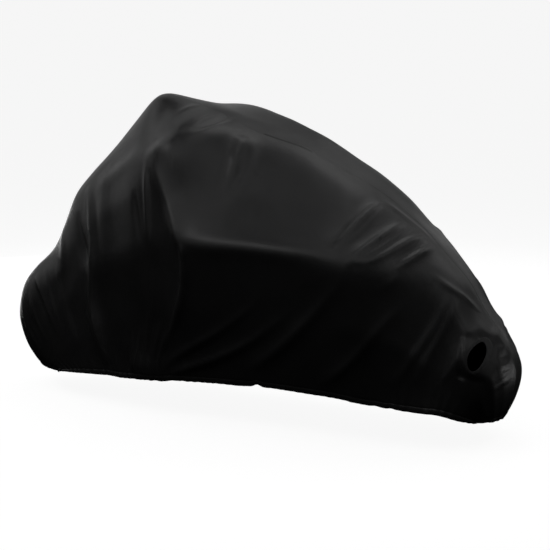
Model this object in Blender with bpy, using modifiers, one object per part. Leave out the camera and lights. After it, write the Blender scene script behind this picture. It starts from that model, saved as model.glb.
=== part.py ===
"""Fitted bicycle cover: a thin draped sheet of two panels with a lock hole at the rear on each side.

The cover hangs hollow from its top, with a peak on each side near the front and a round nose at each end.
+X runs along its length towards the rear, -Y is the near side and +Z is up.  The tables below give heights
above the ground and lengths from the middle of the cover.  The finished part is moved so that the point where
its top rests lies at the origin.
"""

from collections import namedtuple

import bmesh
import bpy
import numpy as np
from mathutils import Vector
from mathutils.bvhtree import BVHTree

# ---------------------------------------------------------------- driving dimensions, metres
CLOTH = 0.0022                  # thickness of the sheet
SEAM_GAP = 0.0003               # space between the two panels along the centre seam
REST_X = -0.20                  # where the top rests, along the length
REST_Z = 1.0400                 # the same, above the ground: the underside of the sheet

STATIONS = 264                  # fine steps along the seam, front hem to rear hem
DOWN = 56                       # fine steps from the seam down to the hem, each side
KEEP_STATION = 4                # every fourth station and every second line down are kept
KEEP_DOWN = 2
ROUND_ALONG = 0.045             # how far the tables' corners are rounded, along the seam
ROUND_DOWN = 0.028              # and down a side, as a share of its length
ROUND_SOFT = 0.075              # the same where the near side's crest and its rear knee are soft
CREST_STARTS = (-0.12, 0.02)    # shares of the way down between which the soft crest sets in
CREST_STOPS = (0.24, 0.40)      # and ends
CREST_REACH = 0.18              # how far down the seam's own height is held
KNEE_STARTS = (0.26, 0.36)      # the same for the soft knee
KNEE_STOPS = (0.56, 0.72)
REAR_STARTS = (2.04, 2.20)      # where along the seam the soft knee sets in
REAR_STOPS = (2.60, 2.80)       # and ends, with the soft crest

HOLE_X = 0.852                  # lock hole: its axis along the length
HOLE_TOP = 0.368                # its pointed top, above the ground
HOLE_WIDTH = 0.060              # the cut in the panel
HOLE_HEIGHT = 0.104
HOLE_POINT = 0.30               # how much the cut narrows towards its top
EDGE_WIDTH = 0.0095             # the bound edge that lines the cut
EDGE_THICK = 0.0042
EDGE_GAP = 0.0003
EDGE_STEPS = 36                 # points round the bound edge

# ---------------------------------------------------------------- sections, seam to hem
# Each row is one line of the drape from the centre seam to the hem.  At the two ends the lines fan round the
# nose.  top, hem: the seam's and the hem's place along the length.  ridge, shoulder, knee, low, hem: how far
# out (y) and how high (z) the near side lies there.  far_y, far_z: the far side's ridge, which stands higher
# at its peak.
Section = namedtuple(
    "Section",
    "top_x top_z hem_x ridge_y ridge_z shoulder_y shoulder_z knee_y knee_z low_y low_z hem_y hem_z "
    "far_y far_z",
)
SECTIONS = [Section(*row) for row in (
    # top_x  top_z  hem_x  ridge_y  _z   shoulder_y _z  knee_y  _z    low_y  _z     hem_y  _z     far_y  far_z
    (-0.935, 0.068, -0.760, 0.045, 0.069, 0.075, 0.071, 0.110, 0.075, 0.142, 0.080, 0.165, 0.086, 0.045, 0.069),
    (-1.012, 0.128, -0.735, 0.042, 0.125, 0.075, 0.120, 0.115, 0.112, 0.150, 0.100, 0.172, 0.089, 0.042, 0.125),
    (-1.052, 0.238, -0.700, 0.044, 0.234, 0.080, 0.218, 0.122, 0.182, 0.160, 0.136, 0.182, 0.092, 0.044, 0.234),
    (-1.028, 0.360, -0.660, 0.046, 0.350, 0.088, 0.322, 0.132, 0.252, 0.170, 0.172, 0.190, 0.096, 0.046, 0.350),
    (-0.958, 0.440, -0.620, 0.050, 0.426, 0.096, 0.388, 0.142, 0.305, 0.180, 0.200, 0.198, 0.100, 0.050, 0.426),
    (-0.885, 0.497, -0.580, 0.056, 0.480, 0.104, 0.440, 0.152, 0.345, 0.188, 0.225, 0.206, 0.104, 0.056, 0.480),
    (-0.836, 0.590, -0.540, 0.062, 0.570, 0.112, 0.520, 0.162, 0.405, 0.197, 0.255, 0.214, 0.108, 0.062, 0.570),
    (-0.806, 0.668, -0.510, 0.056, 0.650, 0.098, 0.600, 0.160, 0.460, 0.206, 0.280, 0.222, 0.112, 0.070, 0.645),
    (-0.770, 0.735, -0.470, 0.074, 0.700, 0.124, 0.630, 0.188, 0.480, 0.216, 0.295, 0.232, 0.111, 0.085, 0.692),
    (-0.609, 0.902, -0.390, 0.122, 0.780, 0.182, 0.692, 0.236, 0.530, 0.248, 0.335, 0.246, 0.118, 0.130, 0.820),
    (-0.428, 1.103, -0.290, 0.203, 0.866, 0.245, 0.770, 0.288, 0.585, 0.276, 0.370, 0.250, 0.126, 0.215, 0.960),
    (-0.350, 1.085, -0.262, 0.238, 0.890, 0.262, 0.820, 0.290, 0.630, 0.280, 0.400, 0.251, 0.129, 0.245, 1.010),
    (-0.275, 1.066, -0.225, 0.240, 0.966, 0.280, 0.785, 0.300, 0.620, 0.288, 0.385, 0.252, 0.133, 0.265, 1.035),
    (-0.205, 1.048, -0.188, 0.228, 0.968, 0.268, 0.835, 0.320, 0.690, 0.310, 0.410, 0.252, 0.135, 0.280, 1.033),
    (-0.130, 1.016, -0.128, 0.180, 0.966, 0.258, 0.800, 0.350, 0.642, 0.308, 0.385, 0.252, 0.139, 0.270, 1.020),
    (-0.030, 0.972, -0.030, 0.060, 0.962, 0.195, 0.797, 0.346, 0.648, 0.302, 0.382, 0.252, 0.144, 0.235, 1.004),
    (0.150, 0.928, 0.150, 0.055, 0.916, 0.190, 0.770, 0.338, 0.645, 0.300, 0.380, 0.252, 0.152, 0.170, 0.956),
    (0.400, 0.825, 0.400, 0.100, 0.803, 0.210, 0.714, 0.332, 0.637, 0.300, 0.380, 0.252, 0.146, 0.115, 0.840),
    (0.500, 0.765, 0.490, 0.085, 0.757, 0.195, 0.688, 0.302, 0.618, 0.305, 0.400, 0.252, 0.138, 0.105, 0.772),
    (0.620, 0.675, 0.590, 0.072, 0.672, 0.150, 0.640, 0.220, 0.575, 0.265, 0.370, 0.252, 0.134, 0.087, 0.655),
    (0.700, 0.590, 0.655, 0.074, 0.588, 0.130, 0.562, 0.176, 0.480, 0.235, 0.320, 0.245, 0.132, 0.080, 0.590),
    (0.765, 0.535, 0.705, 0.068, 0.527, 0.120, 0.500, 0.160, 0.405, 0.210, 0.280, 0.236, 0.128, 0.065, 0.520),
    (0.805, 0.458, 0.735, 0.072, 0.453, 0.132, 0.424, 0.168, 0.335, 0.195, 0.240, 0.226, 0.128, 0.075, 0.450),
    (0.850, 0.405, 0.760, 0.082, 0.396, 0.140, 0.368, 0.172, 0.300, 0.188, 0.210, 0.212, 0.122, 0.080, 0.396),
    (0.890, 0.357, 0.780, 0.090, 0.348, 0.142, 0.318, 0.170, 0.255, 0.180, 0.185, 0.200, 0.115, 0.082, 0.348),
    (0.925, 0.280, 0.800, 0.086, 0.274, 0.134, 0.248, 0.160, 0.200, 0.168, 0.155, 0.185, 0.106, 0.076, 0.274),
    (0.935, 0.225, 0.812, 0.074, 0.220, 0.120, 0.198, 0.146, 0.160, 0.155, 0.130, 0.170, 0.100, 0.066, 0.220),
    (0.912, 0.125, 0.825, 0.045, 0.123, 0.078, 0.118, 0.108, 0.110, 0.130, 0.102, 0.148, 0.094, 0.045, 0.123),
    (0.885, 0.080, 0.835, 0.035, 0.080, 0.060, 0.081, 0.085, 0.083, 0.106, 0.085, 0.125, 0.088, 0.035, 0.080),
)]
# share of the way from top_x to hem_x at seam, ridge, shoulder, knee, low and hem
FAN = (0.0, 0.10, 0.24, 0.50, 0.78, 1.0)

# ---------------------------------------------------------------- folds
# Each row is one fold: a rounded ridge, or a groove where its height is below zero, along a curve on the
# drape.  The curve runs through three points, each given by its distance along the seam from the front hem
# (along, metres) and its share of the way from the seam down to the hem (down).  A far fold's down is
# measured on the far side.  width is the ridge's half width, height how far it stands, peak where along the
# fold it stands highest.
Fold = namedtuple("Fold", "side along0 down0 along1 down1 along2 down2 width height peak")
NEAR = 1
FAR = -1
FOLDS = [Fold(*row) for row in (
    # side  along0 down0  along1 down1  along2 down2  width  height  peak
    # the near peak and the lens-shaped hollow under it
    (NEAR, 1.408, 0.286, 1.510, 0.430, 1.622, 0.575, 0.030, 0.010, 0.70),
    (NEAR, 1.600, 0.540, 1.565, 0.740, 1.385, 0.905, 0.030, 0.009, 0.20),
    (NEAR, 1.385, 0.300, 1.390, 0.420, 1.388, 0.570, 0.028, 0.006, 0.40),
    (NEAR, 1.370, 0.285, 1.150, 0.232, 0.935, 0.180, 0.036, 0.005, 0.50),
    # the front edge and the nose
    (NEAR, 0.890, 0.120, 0.912, 0.350, 0.790, 0.620, 0.030, 0.010, 0.45),
    (NEAR, 0.985, 0.120, 1.010, 0.350, 0.910, 0.620, 0.050, 0.008, 0.45),
    (NEAR, 0.925, 0.380, 0.750, 0.670, 0.730, 0.950, 0.034, 0.018, 0.50),
    (NEAR, 0.800, 0.180, 0.790, 0.340, 0.840, 0.540, 0.028, -0.009, 0.55),
    (NEAR, 0.508, 0.130, 0.508, 0.400, 0.431, 0.830, 0.028, 0.003, 0.35),
    (NEAR, 0.422, 0.130, 0.420, 0.390, 0.380, 0.720, 0.028, 0.005, 0.35),
    # across the top between the peaks
    (NEAR, 1.355, 0.270, 1.440, 0.250, 1.510, 0.235, 0.036, 0.008, 0.50),
    (NEAR, 1.470, 0.245, 1.592, 0.160, 1.668, 0.005, 0.044, 0.002, 0.50),
    (NEAR, 1.490, 0.185, 1.560, 0.090, 1.600, -0.060, 0.028, -0.006, 0.45),
    (NEAR, 1.690, 0.060, 1.712, 0.160, 1.712, 0.310, 0.034, 0.014, 0.35),
    (NEAR, 1.740, -0.010, 1.950, 0.040, 2.200, 0.120, 0.060, 0.004, 0.50),
    # the knee along the side and the fan that gathers on it
    (NEAR, 1.600, 0.520, 1.860, 0.482, 2.080, 0.452, 0.030, 0.004, 0.30),
    (NEAR, 2.230, 0.440, 2.400, 0.370, 2.540, 0.260, 0.060, 0.004, 0.45),
    (NEAR, 2.200, 0.410, 2.228, 0.240, 2.258, 0.060, 0.028, 0.008, 0.50),
    (NEAR, 2.255, 0.440, 2.320, 0.265, 2.368, 0.070, 0.028, 0.006, 0.50),
    (NEAR, 2.285, 0.420, 2.385, 0.275, 2.450, 0.030, 0.028, 0.006, 0.50),
    (NEAR, 2.425, 0.340, 2.470, 0.215, 2.490, 0.050, 0.028, 0.005, 0.50),
    # long folds drawn up from the hem, and the flare where they start
    (NEAR, 1.020, 0.965, 1.200, 0.960, 1.420, 0.975, 0.050, 0.013, 0.50),
    (NEAR, 1.370, 0.950, 1.660, 0.845, 1.925, 0.645, 0.028, 0.004, 0.35),
    (NEAR, 1.420, 0.975, 1.760, 0.880, 2.040, 0.665, 0.028, 0.005, 0.35),
    (NEAR, 1.820, 0.945, 2.040, 0.765, 2.265, 0.480, 0.032, 0.006, 0.30),
    (NEAR, 2.110, 0.955, 2.320, 0.760, 2.500, 0.440, 0.034, 0.005, 0.20),
    # the rear end
    (NEAR, 2.590, 0.850, 2.650, 0.560, 2.690, 0.190, 0.028, 0.003, 0.40),
    (NEAR, 2.690, 0.880, 2.795, 0.530, 2.785, 0.130, 0.028, 0.003, 0.45),
    (NEAR, 2.550, 0.215, 2.650, 0.190, 2.760, 0.060, 0.028, 0.002, 0.40),
    # the far side: the same pulls, lying otherwise
    (FAR, 1.585, 0.550, 1.590, 0.730, 1.530, 0.900, 0.036, 0.012, 0.20),
    (FAR, 1.372, 0.300, 1.150, 0.240, 0.935, 0.190, 0.038, 0.006, 0.50),
    (FAR, 0.905, 0.210, 0.860, 0.520, 0.760, 0.950, 0.040, 0.016, 0.30),
    (FAR, 0.500, 0.140, 0.495, 0.420, 0.440, 0.840, 0.028, 0.008, 0.38),
    (FAR, 1.620, 0.510, 1.920, 0.485, 2.270, 0.440, 0.032, 0.010, 0.40),
    (FAR, 2.240, 0.420, 2.250, 0.300, 2.285, 0.170, 0.028, 0.009, 0.50),
    (FAR, 2.330, 0.410, 2.375, 0.290, 2.415, 0.170, 0.028, 0.008, 0.50),
    (FAR, 1.450, 0.950, 1.700, 0.810, 1.960, 0.620, 0.032, 0.011, 0.45),
    (FAR, 1.800, 0.970, 2.050, 0.770, 2.320, 0.520, 0.040, 0.011, 0.45),
    (FAR, 2.620, 0.220, 2.640, 0.480, 2.560, 0.820, 0.034, 0.010, 0.45),
    (FAR, 2.790, 0.150, 2.800, 0.540, 2.690, 0.900, 0.032, 0.009, 0.45),
)]
FOLD_STEPS = 48                 # points that the distance to a fold is measured from
TROUGH_SHARE = 0.18             # depth of the shallow trough on either side of a ridge
TROUGH_REACH = 2.4              # and its width, in ridge widths

BLACK_CLOTH = (0.012, 0.012, 0.013, 1.0)
BLACK_BINDING = (0.016, 0.016, 0.017, 1.0)


def clear_scene():
    """Remove the objects and meshes that the file opened with."""
    for thing in list(bpy.data.objects):
        bpy.data.objects.remove(thing, do_unlink=True)
    for mesh in list(bpy.data.meshes):
        bpy.data.meshes.remove(mesh)


def collection(name):
    """Make a collection of that name in the scene."""
    group = bpy.data.collections.new(name)
    bpy.context.scene.collection.children.link(group)
    return group


def cloth_material(name, colour, roughness):
    """Make a plain Principled material of one colour."""
    material = bpy.data.materials.new(name)
    material.use_nodes = True
    shader = material.node_tree.nodes["Principled BSDF"]
    shader.inputs["Base Color"].default_value = colour
    shader.inputs["Roughness"].default_value = roughness
    shader.inputs["Metallic"].default_value = 0.0
    material.diffuse_color = colour
    return material


def smoothing(count, spread):
    """Matrix that rounds a row of points: twice a Gaussian mean less its own mean, mirrored at the ends."""
    reach = int(4 * spread) + 1
    offsets = np.arange(-reach, reach + 1)
    weights = np.exp(-0.5 * (offsets / spread) ** 2)
    weights /= weights.sum()
    mean = np.zeros((count, count))
    rows = np.arange(count)
    last = count - 1
    for offset, weight in zip(offsets, weights):
        column = rows + offset
        inside = (column >= 0) & (column <= last)
        np.add.at(mean, (rows[inside], column[inside]), weight)
        low = rows[column < 0]
        np.add.at(mean, (low, np.zeros_like(low)), 2 * weight)
        np.add.at(mean, (low, -column[column < 0]), -weight)
        high = rows[column > last]
        np.add.at(mean, (high, np.full_like(high, last)), 2 * weight)
        np.add.at(mean, (high, 2 * last - column[column > last]), -weight)
    return 2 * mean - mean @ mean


def smooth_step(value, start, stop):
    """Zero below start, one above stop, and a cubic ease between the two."""
    part = np.clip((value - start) / (stop - start), 0.0, 1.0)
    return part * part * (3 - 2 * part)


def section_lines(side, rows):
    """Points of every row at seam, ridge, shoulder, knee, low and hem, for one side: rows x 6 x 3."""
    x = rows["top_x"][:, None] + (rows["hem_x"] - rows["top_x"])[:, None] * np.array(FAN)
    ridge = ("ridge_y", "ridge_z") if side == NEAR else ("far_y", "far_z")
    lower = ("shoulder", "knee", "low", "hem")
    y = np.stack([0 * rows["top_x"], rows[ridge[0]]] + [rows[name + "_y"] for name in lower], axis=1)
    z = np.stack([rows["top_z"], rows[ridge[1]]] + [rows[name + "_z"] for name in lower], axis=1)
    return np.stack([x, -side * y, z], axis=-1)


def even_steps(lines, steps):
    """Put evenly spaced points along each line of points, both ends included."""
    lengths = np.linalg.norm(np.diff(lines, axis=1), axis=2)
    share = np.concatenate([np.zeros((len(lines), 1)), np.cumsum(lengths, axis=1)], axis=1)
    share /= share[:, -1:]
    wanted = np.linspace(0.0, 1.0, steps + 1)
    leg = np.clip((wanted[None, :, None] >= share[:, None, :]).sum(-1) - 1, 0, lines.shape[1] - 2)
    start = np.take_along_axis(share, leg, 1)
    stop = np.take_along_axis(share, leg + 1, 1)
    part = ((wanted[None] - start) / (stop - start))[..., None]
    first = np.take_along_axis(lines, leg[..., None], 1)
    second = np.take_along_axis(lines, leg[..., None] + 1, 1)
    return first + (second - first) * part


def drape():
    """The unfolded drape as a grid, and each station's distance along the seam.

    The rows run from the front hem to the rear hem, the columns from the far hem over the seam to the near
    hem.
    """
    table = {field: np.array([getattr(row, field) for row in SECTIONS]) for field in Section._fields}
    steps = np.hypot(np.diff(table["top_x"]), np.diff(table["top_z"]))
    along = np.concatenate([[0.0], np.cumsum(steps)])
    stations = np.linspace(0.0, along[-1], STATIONS + 1)
    rows = {field: np.interp(stations, along, values) for field, values in table.items()}
    near = even_steps(section_lines(NEAR, rows), DOWN)
    far = even_steps(section_lines(FAR, rows), DOWN)
    grid = np.concatenate([far[:, ::-1], near[:, 1:]], axis=1)
    grid = np.einsum("ab,bcd->acd", smoothing(STATIONS + 1, ROUND_ALONG * STATIONS / along[-1]), grid)
    grid = np.einsum("ce,aed->acd", smoothing(2 * DOWN + 1, ROUND_DOWN * DOWN), grid)
    return grid + softening(grid, stations), stations


def softening(grid, stations):
    """How far each point moves where crest and rear knee are rounded more widely, the seam's height held."""
    softer = np.einsum("ce,aed->acd", smoothing(2 * DOWN + 1, ROUND_SOFT * DOWN), grid) - grid
    share = np.linspace(-1.0, 1.0, grid.shape[1])
    softer -= softer[:, DOWN:DOWN + 1] * np.exp(-(share / CREST_REACH) ** 2)[:, None]
    crest = smooth_step(share, *CREST_STARTS) - smooth_step(share, *CREST_STOPS)
    knee = smooth_step(share, *KNEE_STARTS) - smooth_step(share, *KNEE_STOPS)
    rear = smooth_step(stations, *REAR_STARTS) - smooth_step(stations, *REAR_STOPS)
    crest = crest * (1 - smooth_step(stations, *REAR_STOPS))[:, None]
    return softer * (crest + (1 - crest) * knee * rear[:, None])[..., None]


def outward(grid):
    """Unit normals of the grid, pointing away from the hollow."""
    normal = np.cross(np.gradient(grid, axis=1), np.gradient(grid, axis=0))
    normal /= np.linalg.norm(normal, axis=-1, keepdims=True)
    return normal


def on_grid(grid, stations, along, down):
    """Points of the drape at distances along the seam and signed shares down a side."""
    row = np.clip(along / stations[-1] * STATIONS, 0, STATIONS - 1e-6)
    column = np.clip((down + 1.0) * DOWN, 0, 2 * DOWN - 1e-6)
    i = row.astype(int)
    j = column.astype(int)
    u = (row - i)[:, None]
    v = (column - j)[:, None]
    front = grid[i, j] * (1 - v) + grid[i, j + 1] * v
    rear = grid[i + 1, j] * (1 - v) + grid[i + 1, j + 1] * v
    return front * (1 - u) + rear * u


def fold_heights(grid, stations):
    """How far the folds push each point of the grid out.

    A fold's curve is the parabola through its three points.  Its height at a point falls off as a bell curve
    of the distance to that curve, less a wider and shallower bell, and swells from nothing to its peak and
    back.
    """
    total = np.zeros(grid.shape[:2])
    share = np.linspace(0.0, 1.0, FOLD_STEPS)
    bend = np.stack([2 * (share - 0.5) * (share - 1), 4 * share * (1 - share), 2 * share * (share - 0.5)])
    for fold in FOLDS:
        along = bend.T @ np.array([fold.along0, fold.along1, fold.along2])
        down = bend.T @ np.array([fold.down0, fold.down1, fold.down2]) * fold.side
        curve = on_grid(grid, stations, along, down)
        swell = np.where(
            share < fold.peak,
            np.sin(0.5 * np.pi * share / fold.peak),
            np.cos(0.5 * np.pi * (share - fold.peak) / (1 - fold.peak)),
        )
        away = np.linalg.norm(grid[:, :, None, :] - curve, axis=-1)
        nearest = away.argmin(axis=-1)
        ratio = np.take_along_axis(away, nearest[..., None], -1)[..., 0] / fold.width
        bell = (1 + TROUGH_SHARE) * np.exp(-ratio ** 2) - TROUGH_SHARE * np.exp(-(ratio / TROUGH_REACH) ** 2)
        total += fold.height * swell[nearest] * bell
    return total


def folded_grid():
    """The drape with its folds, moved to the part's own origin, at the panels' own spacing."""
    grid, stations = drape()
    grid = grid + outward(grid) * fold_heights(grid, stations)[..., None]
    grid -= np.array([REST_X, 0.0, REST_Z])
    return grid[::KEEP_STATION, ::KEEP_DOWN]


def sheet_mesh(name, grid):
    """A mesh of four-sided faces through the grid's points, facing away from the hollow."""
    rows, columns = grid.shape[:2]
    i, j = np.meshgrid(np.arange(rows - 1), np.arange(columns - 1), indexing="ij")
    corner = (i * columns + j).ravel()
    faces = np.stack([corner, corner + 1, corner + columns + 1, corner + columns], axis=1)
    mesh = bpy.data.meshes.new(name)
    mesh.from_pydata(grid.reshape(-1, 3).tolist(), [], faces.tolist())
    mesh.shade_smooth()
    return mesh


def add_object(name, mesh, group, material=None):
    """Put a mesh into the scene under that name."""
    thing = bpy.data.objects.new(name, mesh)
    if material is not None:
        mesh.materials.append(material)
    group.objects.link(thing)
    return thing


def add_cutter(name, mesh, group):
    """Put a mesh into the scene as a cutter, which isn't rendered."""
    thing = add_object(name, mesh, group)
    thing.display_type = "WIRE"
    thing.hide_render = True
    return thing


def half_space(name, side, group):
    """A block that fills the far side (side NEAR) or the near side (FAR) up to the seam's gap."""
    bounds = bmesh.new()
    bmesh.ops.create_cube(bounds, size=1.0)
    block = Vector((3.0, 1.0, 3.0))
    bmesh.ops.scale(bounds, vec=block, verts=bounds.verts)
    shift = Vector((0.0, side * (0.5 * block.y - 0.5 * SEAM_GAP), -0.5))
    bmesh.ops.translate(bounds, vec=shift, verts=bounds.verts)
    mesh = bpy.data.meshes.new(name)
    bounds.to_mesh(mesh)
    bounds.free()
    return add_cutter(name, mesh, group)


def hole_outline(inset, steps=EDGE_STEPS):
    """The lock hole's outline as (x, z) points: a drop with a pointed top, drawn in by inset."""
    angle = np.linspace(0.0, 2 * np.pi, steps, endpoint=False)
    half_width = 0.5 * HOLE_WIDTH - inset
    half_height = 0.5 * HOLE_HEIGHT - inset
    point = np.clip(np.cos(angle), 0.0, 1.0)
    x = half_width * np.sin(angle) * (1 - HOLE_POINT * point ** 2)
    z = half_height * np.cos(angle)
    centre_z = HOLE_TOP - 0.5 * HOLE_HEIGHT - REST_Z
    return np.stack([x + HOLE_X - REST_X, z + centre_z], axis=1)


def hole_cutter(name, side, group):
    """A straight prism through one panel with the lock hole's outline."""
    inner = 0.02
    outer = 0.40
    outline = hole_outline(0.0)
    cutter = bmesh.new()
    ring = [cutter.verts.new((x, -side * inner, z)) for x, z in outline]
    face = cutter.faces.new(ring)
    out = bmesh.ops.extrude_face_region(cutter, geom=[face])
    moved = [item for item in out["geom"] if isinstance(item, bmesh.types.BMVert)]
    bmesh.ops.translate(cutter, vec=Vector((0.0, -side * (outer - inner), 0.0)), verts=moved)
    bmesh.ops.recalc_face_normals(cutter, faces=cutter.faces)
    mesh = bpy.data.meshes.new(name)
    cutter.to_mesh(mesh)
    cutter.free()
    return add_cutter(name, mesh, group)


def side_surface(grid):
    """The sheet's middle surface, ready to be met by straight lines."""
    mesh = sheet_mesh("probe", grid)
    surface = bmesh.new()
    surface.from_mesh(mesh)
    bpy.data.meshes.remove(mesh)
    tree = BVHTree.FromBMesh(surface)
    surface.free()
    return tree


def hole_edge(name, side, surface, group, material):
    """The bound edge of a lock hole: a flat ring that lines the cut and follows the panel's surface.

    The ring's outer and inner outlines are laid on the sheet by lines along Y.  The strip between them is
    pushed out by half its thickness and drawn through, so that its walls run along Y as the cut's do.
    """
    strip = bmesh.new()
    rings = []
    for inset in (EDGE_GAP, EDGE_GAP + EDGE_WIDTH):
        ring = []
        for x, z in hole_outline(inset):
            hit = surface.ray_cast(Vector((x, -side * 0.5, z)), Vector((0.0, side, 0.0)))[0]
            ring.append(strip.verts.new((x, hit.y - side * 0.5 * EDGE_THICK, z)))
        rings.append(ring)
    outer, inner = rings
    faces = []
    for k in range(EDGE_STEPS):
        after = (k + 1) % EDGE_STEPS
        faces.append(strip.faces.new((outer[k], outer[after], inner[after], inner[k])))
    out = bmesh.ops.extrude_face_region(strip, geom=faces)
    moved = [item for item in out["geom"] if isinstance(item, bmesh.types.BMVert)]
    bmesh.ops.translate(strip, vec=Vector((0.0, side * EDGE_THICK, 0.0)), verts=moved)
    bmesh.ops.recalc_face_normals(strip, faces=strip.faces)
    mesh = bpy.data.meshes.new(name)
    strip.to_mesh(mesh)
    strip.free()
    return add_object(name, mesh, group, material)


def boolean_cut(thing, cutter):
    """Cut one object out of another."""
    cut = thing.modifiers.new(cutter.name, "BOOLEAN")
    cut.operation = "DIFFERENCE"
    cut.solver = "EXACT"
    cut.object = cutter


def panel(name, side, grid, group, cutters, material):
    """One side panel: its half of the drape and one step past the seam, given its thickness and trimmed."""
    middle = grid.shape[1] // 2
    half = grid[:, middle - 1:] if side == NEAR else grid[:, :middle + 2]
    thing = add_object(name, sheet_mesh(name, half), group, material)
    shell = thing.modifiers.new("cloth", "SOLIDIFY")
    shell.thickness = CLOTH
    shell.offset = 0.0
    shell.use_even_offset = False
    boolean_cut(thing, half_space("trim_" + name, side, cutters))
    boolean_cut(thing, hole_cutter("lock_hole_" + name, side, cutters))
    return thing


def main():
    """Build the cover."""
    clear_scene()
    parts = collection("bicycle_cover")
    cutters = collection("cutters")
    cloth = cloth_material("black_cloth", BLACK_CLOTH, 0.62)
    binding = cloth_material("black_binding", BLACK_BINDING, 0.70)
    grid = folded_grid()
    surface = side_surface(grid)
    panel("panel_near", NEAR, grid, parts, cutters, cloth)
    panel("panel_far", FAR, grid, parts, cutters, cloth)
    hole_edge("lock_hole_edge_near", NEAR, surface, parts, binding)
    hole_edge("lock_hole_edge_far", FAR, surface, parts, binding)


main()
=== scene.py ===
"""A fitted bicycle cover: thin black cloth with its folds, gathered hem, centre seam and bound lock holes.

The drape is one function of two parameters: the distance along the centre seam and the share of the way down
a side. Sections across the cover give its base, and tables of folds push it out or in. Each side panel is a
fine lattice on that drape, with its hem turned up, its seam turned in and its lock hole cut out.
"""

import logging
from dataclasses import dataclass, field
from enum import Enum
from typing import NamedTuple

import bpy
import numpy as np
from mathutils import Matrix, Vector


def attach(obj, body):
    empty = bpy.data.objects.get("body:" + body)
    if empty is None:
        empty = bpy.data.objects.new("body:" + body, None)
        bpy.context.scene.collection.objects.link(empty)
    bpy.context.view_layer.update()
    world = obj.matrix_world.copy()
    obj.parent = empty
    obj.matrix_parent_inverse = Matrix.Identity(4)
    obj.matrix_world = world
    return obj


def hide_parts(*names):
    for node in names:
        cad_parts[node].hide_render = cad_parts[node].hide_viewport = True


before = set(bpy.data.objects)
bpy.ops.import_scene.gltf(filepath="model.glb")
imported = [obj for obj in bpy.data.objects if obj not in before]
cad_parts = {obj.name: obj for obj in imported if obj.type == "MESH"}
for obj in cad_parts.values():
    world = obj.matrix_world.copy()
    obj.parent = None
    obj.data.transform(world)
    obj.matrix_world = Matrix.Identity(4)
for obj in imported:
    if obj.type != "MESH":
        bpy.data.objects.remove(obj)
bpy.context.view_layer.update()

logging.basicConfig(level=logging.INFO, format="%(levelname)s %(message)s")
LOG = logging.getLogger("bicycle_cover")

# The point under the top where the cover rests is the frame's origin; heights below are above the ground.
REST_X = -0.20
REST_Z = 1.0400


class Side(Enum):
    """The two halves of the cover; the value is the sign of a share down the side."""

    NEAR = 1
    FAR = -1


class Section(NamedTuple):
    """One line of the drape from the centre seam to the hem, in metres.

    It has x at both ends, and y and z in between. far_y and far_z are the far side's ridge; the other points
    there mirror the near side's.
    """

    top_x: float
    top_z: float
    hem_x: float
    ridge_y: float
    ridge_z: float
    shoulder_y: float
    shoulder_z: float
    knee_y: float
    knee_z: float
    low_y: float
    low_z: float
    hem_y: float
    hem_z: float
    far_y: float
    far_z: float


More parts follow.
